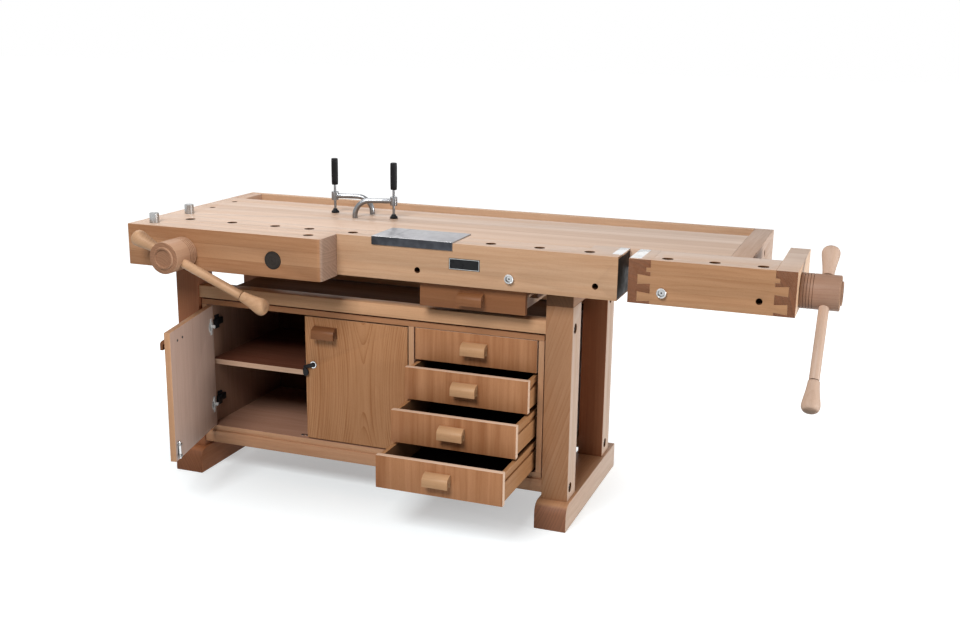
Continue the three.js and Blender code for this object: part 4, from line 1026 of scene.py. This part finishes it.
def corner_plate(name, corner, way, width, front, back):
    """A steel angle that lies flush in the top corner of a jaw, along the jaw's face."""
    inner = corner + way * plate_gauge
    far = corner + way * width
    foot = top_level - plate_drop
    under = top_level - plate_gauge
    outline = [(corner, top_level), (corner, foot), (inner, foot), (inner, under), (far, under),
               (far, top_level)]
    return sawn(name, outline, ALONG_Y, front, back)


def level_with_top(piece):
    """Gives a beam's upper face the top's wood and finish, whose paler colour is partly a painted sheen."""
    paint_faces(piece, top_beech, UPWARD, apron_high.z)


apron_outline = [(0, 0), (apron_end, 0), (apron_end, 145), (1440, 145), (1440, 100), (0, 100)]
apron = sawn("front_apron_beam", apron_outline, ALONG_Z, beam_bottom, top_level)
apron_dog_holes = dog_holes(apron, (133, 287, 441, 561, 709.5, 1155, 1303.5, 1452), 43, 730)
apron_peg_holes = peg_holes(apron, (940, 1229, 1482))
drill(apron, on_front_screw(-2), on_front_screw(102), screw_bore_radius)
drill(apron, on_front_guide(-2), on_front_guide(102), apron_guide_radius)
cut_away(apron, corner_plate("plate_seat", apron_end, -1, 28, 40, 150))
cut_away(apron, board("lining_seat", at(apron_end - lining_gauge, 4, 739), at(1550, 141, 853)))
fit(ease(apron, 1.2), apron_beech, node="front_apron")
level_with_top(apron)
paint_bore_shade(apron, apron_dog_holes)
paint_bore_shade(apron, apron_peg_holes)
jaw_plate_steel = metal("jaw_plate_steel", (0.90, 0.90, 0.90), 0.16, streak=(40.0, 4.0, 40.0))
apron_plate = ease(corner_plate("apron_jaw_plate", apron_end, -1, 28, 40.2, 144.6), 0.4)
fit(apron_plate, jaw_plate_steel)
jaw_lining = moulded("jaw_lining", (0.016, 0.014, 0.013), 0.55, grain=260.0)
lining = board("apron_jaw_lining", at(apron_end - lining_gauge, 4.2, 739.2), at(1544.9, 140.8, 852.8))
fit(ease(lining, 0.6), jaw_lining)

# Name plate
# A small black plate on the apron, left blank, with a fine pale line along its rim. It is held by glue.
plate_black = moulded("plate_black", (0.008, 0.008, 0.009), 0.3, grain=500.0)
plate_line = metal("plate_line", (0.70, 0.70, 0.68), 0.3)
plate_left, plate_right = 1041, 1137
plate_low, plate_high = 783, 817
rim_from_edge = 1.5
rim_gap = 0.0012
rim_width = 0.0009
rim_reach = 0.0016
plate_front, plate_back = -1.4, -0.05
name_plate = board("blank_plate", at(plate_left, plate_front, plate_low),
                   at(plate_right, plate_back, plate_high))
ease(name_plate, 0.4)
select_edges(name_plate, lambda a, b: False)
bpy.ops.object.mode_set(mode="OBJECT")
widest = min(name_plate.data.polygons, key=lambda face: face.center.y)
widest.select = True
bpy.ops.object.mode_set(mode="EDIT")
bpy.ops.mesh.select_mode(type="FACE")
bpy.ops.mesh.inset(thickness=rim_gap, depth=0)
bpy.ops.mesh.inset(thickness=rim_width, depth=0)
bpy.ops.object.mode_set(mode="OBJECT")
rim_low = at(plate_left + rim_from_edge, 0, plate_low + rim_from_edge)
rim_high = at(plate_right - rim_from_edge, 0, plate_high - rim_from_edge)


def on_rim(face):
    """Whether a face lies on the fine line round the plate's front."""
    off_edge = min(face.center.x - rim_low.x, rim_high.x - face.center.x, face.center.z - rim_low.z,
                   rim_high.z - face.center.z)
    return face.normal.y < -0.99 and 0 < off_edge < rim_reach


fit(name_plate, plate_black)
paint_where(name_plate, plate_line, on_rim)

# End cap and tool tray
# A beech board closes the slab's right end, drawn up by a sunk bolt. Behind the slab, a thin floor, a
# rail and an end block make the tool tray.
cap_beech = beech("cap_beech", (0.58, 0.40, 0.295), (0.455, 0.285, 0.195), ALONG_Y, at(1500, 0, 500))
tray_beech = beech("tray_beech", (0.62, 0.41, 0.265), (0.48, 0.28, 0.165), ALONG_X, at(0, 380, 560))
cap_start, cap_end = 1832, 1891
past_cap = 1895
cap_guide_radius = 13.5
cap_bolt_radius = 11.0
cap_bolt_seat = at(1876, 428, 823)


def on_tail_guide(x):
    """A point of the axis of the tail vise's guide bar."""
    return at(x, 300, 784)


cap = board("right_end_cap_board", at(cap_start, 145, beam_bottom), at(cap_end, 642, top_level))
drill(cap, cap_bolt_seat, at(past_cap, 428, 823), cap_bolt_radius)
drill(cap, on_tail_guide(1825), on_tail_guide(past_cap), cap_guide_radius)
fit(ease(cap, 1.5), cap_beech, node="right_end_cap")
sunk_bolt("end_cap_bolt", cap_bolt_seat, RIGHTWARD)
for node in ("tray_bottom", "tray_left_end", "tray_back_rail"):
    finish = cap_beech if node == "tray_left_end" else tray_beech
    fit(ease(board(f"{node}_board", *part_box(node)), 1.0), finish, node=node)

# Steel plate
# A ground steel angle lies over the top's front edge as a small anvil. A line is scored across it, and
# its lip hangs down the apron's face. The lip is painted darker, as a painted reflection, and the front
# arris paler, as a painted highlight.
long_streak = (3.0, 60.0, 60.0)
ground_steel = metal("ground_steel", (0.40, 0.395, 0.415), 0.34, long_streak, scratch=0.15, blotch=0.2)
# The lip's steel is darker: a painted reflection.
painted_dark_lip_steel = metal("painted_dark_lip_steel", (0.055, 0.057, 0.065), 0.38, long_streak, scratch=0.3, blotch=0.5)
anvil_outline = [(-4, 838), (0, 838), (0, top_level), (150, top_level), (150, 864), (-4, 864)]
anvil = sawn("anvil_angle", anvil_outline, ALONG_X, 793, 1052)
cut_away(anvil, board("score", at(855, -10, 863), at(856.5, 160, 866)))
fit(ease(anvil, 1.5), ground_steel, node="anvil_plate")
paint_faces(anvil, painted_dark_lip_steel, TO_FRONT)
# The front arris gets the bright plate steel: a painted highlight.
paint_faces(anvil, jaw_plate_steel, (TO_FRONT + UPWARD).normalized())

# Front vise
# A thick beech jaw slides on a round steel guide bar, which shows as a turned cap in the jaw's face. A
# steel screw runs through the jaw and the apron into a nut behind it.
jaw_beech = beech("jaw_beech", (0.43, 0.225, 0.115), (0.30, 0.135, 0.06), ALONG_X, at(0, 200, 600),
                  ring=10.0, stave=(2, 43.0), slant=(0, radians(-1.5), 0), end=(0.31, 0.205, 0.15))
jaw_front = -104
jaw_right = 676
before_jaw = -110
jaw_corner_radius = 14
jaw_guide_radius = 15.3
guide_cap_radius = 27.3
jaw_corner = at(jaw_right, jaw_front, 0)
jaw = board("front_jaw_block", at(0, jaw_front, 731), at(jaw_right, 0, top_level))
round_over(jaw, lambda a, b: all((p.xy - jaw_corner.xy).length < 1e-4 for p in (a, b)), jaw_corner_radius,
           segments=8)
jaw_dog_holes = dog_holes(jaw, (64, 608), -52, 725)
drill(jaw, on_front_screw(before_jaw), on_front_screw(5), screw_bore_radius)
drill(jaw, on_front_guide(before_jaw), on_front_guide(5), jaw_guide_radius)
drill(jaw, on_front_guide(before_jaw), on_front_guide(-98.5), guide_cap_radius)
fit(ease(jaw, 2.0), jaw_beech, "front_jaw", "front_vise_jaw")
level_with_top(jaw)
paint_bore_shade(jaw, jaw_dog_holes)

blued_steel = metal("blued_steel", (0.036, 0.030, 0.026), 0.42)
cap_profile = [(15.0, -428.0), (15.0, -1.0), (27.0, -0.8), (27.0, 4.7), (26.2, 5.7), (24.4, 5.7),
               (23.8, 4.9), (21.8, 4.9), (21.2, 5.7), (13.0, 5.7), (12.4, 5.0), (10.6, 5.0), (10.0, 5.7),
               (3.2, 5.7), (2.2, 4.2), (0.6, 4.0)]
guide = turned("front_guide_bar", cap_profile, on_front_guide(-99.8), TO_FRONT, sides=64)
fit(guide, blued_steel, "front_jaw", "front_vise_guide_bar")
nut = board("front_nut_block", at(162, 100, 763), at(242, 136, 805))
drill(nut, on_front_screw(95), on_front_screw(140), screw_bore_radius)
fit(ease(nut, 1.5), blued_steel, node="front_vise_nut")


def threaded(name, start, end, radius, depth, pitch, steps=28):
    """A rod with a thread rolled along it: the section of one turn, wound up the whole length."""
    turns = int((end - start).length * 1000 / pitch)
    bpy.ops.mesh.primitive_plane_add(size=1)
    rod = bpy.context.object
    rod.name = name
    edit_all()
    bpy.ops.mesh.merge(type="CENTER")
    for outward, share in ((0, 0.3), (depth, 0.2), (0, 0.3), (-depth, 0.2)):
        push((outward / 1000, 0, share * pitch / 1000))
    bpy.ops.mesh.select_all(action="SELECT")
    bpy.ops.transform.translate(value=((radius - depth) / 1000, 0, 0))
    bpy.ops.object.mode_set(mode="OBJECT")
    wind = rod.modifiers.new("wind", "SCREW")
    wind.screw_offset = pitch / 1000
    wind.iterations = turns
    wind.steps = steps
    wind.render_steps = steps
    bpy.ops.object.modifier_apply(modifier=wind.name)
    edit_all()
    bpy.ops.mesh.remove_doubles(threshold=2e-6)
    bpy.ops.mesh.select_all(action="DESELECT")
    bpy.ops.mesh.select_mode(type="EDGE")
    bpy.ops.mesh.select_non_manifold()
    bpy.ops.mesh.fill()
    close_edit()
    bpy.ops.object.shade_smooth_by_angle(angle=radians(30))
    set_along(rod, start, end - start)
    return rod


steel_thread = metal("steel_thread", (0.60, 0.60, 0.60), 0.3)
vise_thread = {"radius": 14.0, "depth": 1.6, "pitch": 6.0}
front_screw = threaded("front_screw_thread", on_front_screw(340), on_front_screw(-143.7), **vise_thread)
fit(front_screw, steel_thread, "front_screw", "front_vise_screw")

# Hubs and handles
# Each screw ends in a hub turned from beech, with four grooves near the jaw and a dished face. A round
# beech bar slides through it and has a turned knob glued on each end.
hub_radius = 49
hub_profile = [(46.5, 0.3), (49.0, 2.5)]
hub_grooves = [11 + 8 * number for number in range(4)]
for height in hub_grooves:
    hub_profile += [(49.0, height - 0.8), (47.4, height - 0.4), (47.4, height + 0.4), (49.0, height + 0.8)]
hub_profile += [(49.0, 103.5), (48.2, 105.5), (46.2, 106.3), (34.6, 106.3), (34.0, 107.0), (33.0, 110.4),
                (32.0, 111.3), (28.6, 111.3), (27.4, 110.6), (26.6, 107.0), (24.0, 105.2), (18.0, 104.5),
                (8.0, 104.3), (1.5, 104.3)]
bar_profile = [(13.0, -262.0), (14.0, -260.0), (14.0, 47.0), (13.0, 49.0)]
knob_profile = [(13.6, 0.2), (15.4, 1.2), (16.2, 4.0), (16.4, 9.0), (17.2, 18.0), (18.8, 30.0),
                (20.8, 42.0), (22.9, 54.0), (24.4, 63.0), (25.0, 70.0), (24.6, 75.5), (23.0, 80.6),
                (20.0, 85.0), (15.5, 88.2), (10.0, 89.6), (4.0, 90.0)]
handle_from_jaw = 67
knob_start = hub_radius + 1
handle_lower_end = -354
knob_length = 90
handle_bore_radius = 14.5
hub_screw_radius = 14.3
hub_screw_depth = 0.040
# The walls of the hub's grooves are painted darker.
dark_groove_beech = beech("dark_groove_beech", (0.24, 0.12, 0.06), (0.15, 0.07, 0.035), ALONG_X, at(0, 200, 600))


def hub_and_handle(side, body, bar_body, jaw_face, outward, toward_knob, hub_wood, handle_wood):
    """A hub on its screw at the jaw's face, with its bar through it and a knob at each end of the bar."""
    hub = turned(f"{side}_hub_turning", hub_profile, jaw_face, outward, sides=72, smooth=25)
    middle = jaw_face + outward * handle_from_jaw / 1000
    reach = toward_knob * (hub_radius + 6) / 1000
    drill(hub, middle - reach, middle + reach, handle_bore_radius)
    drill(hub, jaw_face - outward * 0.004, jaw_face + outward * hub_screw_depth, hub_screw_radius)
    fit(ease(hub, 0.5, segments=1, sharp=50), hub_wood, body, f"{side}_vise_hub")

    def in_groove(face):
        height = (face.center - jaw_face).dot(outward)
        off_axis = face.center - jaw_face - outward * height
        beside_groove = min(abs(1000 * height - groove) for groove in hub_grooves) < 0.7
        return beside_groove and hub_radius - 3 < 1000 * off_axis.length < hub_radius - 0.3

    paint_where(hub, dark_groove_beech, in_groove)
    node = f"{side}_vise_handle"
    bar = turned(f"{side}_handle_bar", bar_profile, middle, toward_knob, smooth=40)
    upper_start = middle + toward_knob * knob_start / 1000
    upper = turned(f"{side}_upper_knob", knob_profile, upper_start, toward_knob, smooth=45)
    lower_start = middle + toward_knob * (handle_lower_end + knob_length) / 1000
    lower = turned(f"{side}_lower_knob", knob_profile, lower_start, -toward_knob, smooth=45)
    for part in (bar, upper, lower):
        fit(part, handle_wood, bar_body, node)


front_slope = radians(22.7)
front_hub_beech = beech("front_hub_beech", (0.48, 0.29, 0.185), (0.385, 0.205, 0.12), ALONG_Y,
                        at(160, 0, 700), ring=7.0, end=(0.25, 0.125, 0.07))
front_handle_beech = beech("front_handle_beech", (0.55, 0.335, 0.195), (0.44, 0.245, 0.13), ALONG_X,
                           at(0, 20, 720), ring=6.0, slant=(0, front_slope, 0))
front_toward = Vector((-cos(front_slope), 0, sin(front_slope)))
hub_and_handle("front", "front_screw", "front_handle", on_front_screw(jaw_front), TO_FRONT, front_toward,
               front_hub_beech, front_handle_beech)

# Tail vise
# A cheek with dog holes is dovetailed into a jaw block at its left and into an end arm at its right. The
# whole frame slides along the bench's end on its screw and a steel guide bar.
cheek_beech = beech("cheek_beech", (0.50, 0.275, 0.145), (0.385, 0.19, 0.09), ALONG_X, at(0, 300, 560),
                    lines=0.5)
block_beech = beech("block_beech", (0.76, 0.51, 0.335), (0.61, 0.37, 0.215), ALONG_Y, at(1500, 0, 500),
                    shine=0.4, end=(0.135, 0.044, 0.0145))
tail_rises = [(6, 20, 36, 4), (55, 20, 36, 4), (91, 12, 12, 0)]
block_face = 1575
left_shoulder = 1637
right_shoulder = 1973
arm_end = 2030
cheek_depth = 72
frame_depth = 145
socket_play = 0.2
arm_guide_radius = 13.3
past_front = -2


def tail_prisms(name, shoulder, outward, grow, start_y, end_y):
    """The dovetails and the small tongue on one end of the cheek, or the sockets that they fill."""
    prisms = []
    for number, (rise, root, length, flare) in enumerate(tail_rises, 1):
        bottom = beam_bottom + rise - grow
        top = beam_bottom + rise + root + grow
        root_x = shoulder - outward
        end_x = shoulder + outward * (length + grow)
        outline = [(root_x, bottom + flare), (end_x, bottom), (end_x, top + 2 * flare),
                   (root_x, top + flare)]
        prisms.append(sawn(f"{name}_{number}", outline, ALONG_Y, start_y, end_y))
    return prisms


def on_tail_screw(x):
    """A point of the axis of the tail vise's screw."""
    return at(x, 104, 790)


cheek_outline = [(0, beam_bottom), (cheek_depth, beam_bottom), (cheek_depth, 835), (frame_depth, 835),
                 (frame_depth, top_level), (0, top_level)]
cheek = sawn("tail_cheek", cheek_outline, ALONG_X, left_shoulder, right_shoulder)
left_tails = tail_prisms("left_tail", left_shoulder, -1, 0, 0, cheek_depth)
right_tails = tail_prisms("right_tail", right_shoulder, 1, 0, 0, cheek_depth)
for prism in left_tails + right_tails:
    combine(cheek, prism, "UNION")
cheek_dog_holes = dog_holes(cheek, (1676, 1805.5, 1935), 36, 788)
cheek_peg_holes = peg_holes(cheek, (1671, 1934))
fit(ease(cheek, 0.7), cheek_beech, "tail_vise", "tail_vise_cheek")
level_with_top(cheek)
paint_bore_shade(cheek, cheek_dog_holes)
paint_bore_shade(cheek, cheek_peg_holes)

socket_end = cheek_depth + socket_play
jaw_block = board("tail_jaw_block", at(block_face, 0, beam_bottom),
                  at(left_shoulder, frame_depth, top_level))
for prism in tail_prisms("left_socket", left_shoulder, -1, socket_play, past_front, socket_end):
    cut_away(jaw_block, prism)
cut_away(jaw_block, corner_plate("plate_seat", block_face, 1, 32, 12, 150))
fit(ease(jaw_block, 0.7), block_beech, "tail_vise", "tail_vise_jaw_block")
level_with_top(jaw_block)
block_plate = ease(corner_plate("tail_jaw_plate", block_face, 1, 32, 12.2, 144.6), 0.4)
fit(block_plate, jaw_plate_steel, "tail_vise")

arm = board("tail_end_arm", at(right_shoulder, 0, beam_bottom), at(arm_end, 351, top_level))
for prism in tail_prisms("right_socket", right_shoulder, 1, socket_play, past_front, socket_end):
    cut_away(arm, prism)
drill(arm, on_tail_screw(1970), on_tail_screw(2035), screw_bore_radius)
drill(arm, on_tail_guide(1970), on_tail_guide(2013.3), arm_guide_radius)
fit(ease(arm, 1.0), block_beech, "tail_vise", "tail_vise_arm")
level_with_top(arm)
rod_profile = [(12.0, 0.0), (13.0, 1.2), (13.0, 418.8), (12.0, 420.0)]
tail_guide = turned("tail_guide_rod", rod_profile, on_tail_guide(1593), RIGHTWARD)
fit(tail_guide, bright_steel, "tail_vise", "tail_vise_guide_bar")
tail_nut = board("tail_nut_beech", at(cap_start, 77, 745), at(cap_end, 145, 830))
drill(tail_nut, on_tail_screw(1825), on_tail_screw(past_cap), screw_bore_radius)
fit(ease(tail_nut, 1.0), beam_beech, node="tail_vise_nut_block")
low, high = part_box("tail_vise_screw")
tail_screw_start = Vector((low.x, (low.y + high.y) / 2, (low.z + high.z) / 2))
tail_screw_end = Vector((high.x, tail_screw_start.y, tail_screw_start.z))
tail_screw = threaded("tail_screw_thread", tail_screw_start, tail_screw_end, **vise_thread)
fit(tail_screw, steel_thread, "tail_screw", "tail_vise_screw")
tail_slope = radians(50.0)
tail_hub_beech = beech("tail_hub_beech", (0.40, 0.245, 0.17), (0.315, 0.17, 0.11), ALONG_X, at(0, 60, 700),
                       ring=7.0, end=(0.32, 0.18, 0.105))
tail_handle_beech = beech("tail_handle_beech", (0.61, 0.435, 0.335), (0.505, 0.335, 0.24), ALONG_Y,
                          at(2090, 0, 640), ring=6.0, slant=(-tail_slope, 0, 0))
tail_toward = Vector((0, cos(tail_slope), sin(tail_slope)))
hub_and_handle("tail", "tail_screw", "tail_handle", on_tail_screw(arm_end), RIGHTWARD, tail_toward,
               tail_hub_beech, tail_handle_beech)

# Dogs and pegs
# Round steel dogs stand in the jaw and in the top, each with a spring groove round its shank. Steel pegs
# with a hexagon socket fit the side holes of the apron and the cheek.
dog_steel = metal("dog_steel", (0.40, 0.40, 0.40), 0.26, streak=(60.0, 60.0, 6.0))
dog_foot = 835
dog_profile = [(13.5, 0.0), (15.0, 1.5), (15.0, 14.0), (14.2, 14.6), (14.2, 16.4), (15.0, 17.0),
               (15.0, 53.4), (13.6, 55.0), (9.0, 55.0), (8.6, 54.6), (1.0, 54.6)]
for node, x, y in (("jaw_dog", 64, -52), ("top_dog", 64, 139)):
    dog = turned(f"{node}_steel", dog_profile, at(x, y, dog_foot), UPWARD, smooth=30)
    fit(dog, dog_steel, node, node)

peg_profile = [(7.5, -40.0), (8.5, -38.8), (8.5, 0.5), (12.8, 0.6), (14.0, 1.8), (14.0, 10.0), (12.8, 11.2),
               (1.0, 11.2)]
socket_radius = 9.8
socket_floor = -6.0
peg_hole_radius = 2.2
peg_hole_end = -1.0
before_peg = -14.0
for node, x in (("apron_peg", 1229), ("cheek_peg", 1671)):
    peg = turned(f"{node}_steel", peg_profile, at(x, -0.1, peg_level), TO_FRONT, smooth=30)
    mouth = at(x, before_peg, peg_level)
    drill(peg, at(x, socket_floor, peg_level), mouth, socket_radius, sides=6)
    drill(peg, at(x, peg_hole_end, peg_level), mouth, peg_hole_radius, sides=16)
    fit(ease(peg, 0.3, segments=1, sharp=50), bright_steel, node, node)
    axis = at(x, 0, peg_level)

    def in_socket(face, axis=axis):
        off_axis = 1000 * Vector((face.center.x - axis.x, 0, face.center.z - axis.z)).length
        return off_axis < socket_radius and face.center.y < axis.y - 0.0005

    def on_socket_floor(face, axis=axis, in_socket=in_socket):
        return in_socket(face) and face.normal.y < -0.9 and face.center.y < axis.y - 0.005

    # The socket's walls are painted dark, a painted shade in the hollow, and its floor a duller steel.
    paint_where(peg, dark_screw_steel, in_socket)
    paint_where(peg, dog_steel, on_socket_floor)

# Hold-downs
# A steel bar bent over from its hole in the top ends in a boss. A threaded rod through the boss presses a
# black foot on the work and is turned by a fluted black grip.
hold_down_steel = metal("hold_down_steel", (0.24, 0.245, 0.255), 0.2)
grip_black = moulded("grip_black", (0.006, 0.006, 0.007), 0.42, grain=700.0)
boss_profile = [(11.0, -14.0), (12.0, -13.0), (12.0, 13.0), (11.0, 14.0)]
pad_profile = [(12.4, 0.0), (13.0, 0.8), (13.0, 4.4), (11.6, 6.0), (7.8, 9.8), (6.6, 13.0), (5.8, 14.0),
               (5.3, 14.0)]
grip_profile = [(6.0, 0.0), (9.4, 0.8), (10.5, 3.0), (10.9, 14.0), (11.1, 40.0), (11.1, 70.0), (10.9, 84.0),
                (10.2, 87.0), (8.0, 88.0)]
bar_radius = 8.5
bar_foot = 783
bar_rise = 0.084
bend_radius = 0.050
bend_level = 0.867
bar_run = 0.068
reach = 0.127
arm_level = 0.917
boss_bore_low, boss_bore_high = 0.89, 0.94
boss_bore_radius = 5.5
pad_foot = 0.8603
rod_foot, rod_head = 0.8746, 0.956
grip_foot = 0.953
flute_low, flute_high = 0.004, 0.084
flute_depth = 0.07
rod_thread = {"radius": 5.0, "depth": 0.7, "pitch": 3.0, "steps": 20}
for name, x, y, turn in (("left_hold_down", 614, 380, 190.9), ("right_hold_down", 595, 289, 17.8)):
    placed = Matrix.Translation(at(x, y, 0)) @ Matrix.Rotation(radians(turn), 4, "Z")
    bar = disc(f"{name}_bent_bar", bar_radius, bar_foot, 28)
    push((0, 0, bar_rise))
    bpy.ops.mesh.spin(steps=14, angle=radians(-90), center=(bend_radius, 0, bend_level), axis=(0, 1, 0))
    push((bar_run, 0, 0))
    close_edit()
    combine(bar, turned("boss", boss_profile, Vector((reach, 0, arm_level)), UPWARD), "UNION")
    drill(bar, Vector((reach, 0, boss_bore_low)), Vector((reach, 0, boss_bore_high)), boss_bore_radius,
          sides=32)
    ease(bar, 0.6, segments=1, sharp=50)
    bpy.ops.object.shade_smooth_by_angle(angle=radians(40))
    bar.data.transform(placed)
    fit(bar, hold_down_steel, f"{name}_arm", f"{name}_arm")
    tip = placed @ Vector((reach, 0, 0))
    pad = turned(f"{name}_foot", pad_profile, tip + UPWARD * pad_foot, UPWARD, smooth=30)
    fit(pad, grip_black, f"{name}_pad", f"{name}_pad")
    rod = threaded(f"{name}_rod", tip + UPWARD * rod_foot, tip + UPWARD * rod_head, **rod_thread)
    fit(rod, hold_down_steel, f"{name}_screw", f"{name}_screw")
    grip = turned(f"{name}_grip", grip_profile, tip + UPWARD * grip_foot, UPWARD, sides=40, smooth=50)
    for corner in grip.data.vertices:
        out = Vector((corner.co.x - tip.x, corner.co.y - tip.y, 0))
        fluted = flute_low < corner.co.z - grip_foot < flute_high
        if fluted and out.length > 0.005 and corner.index % 2:
            corner.co -= out * flute_depth
    fit(grip, grip_black, f"{name}_screw", f"{name}_screw")
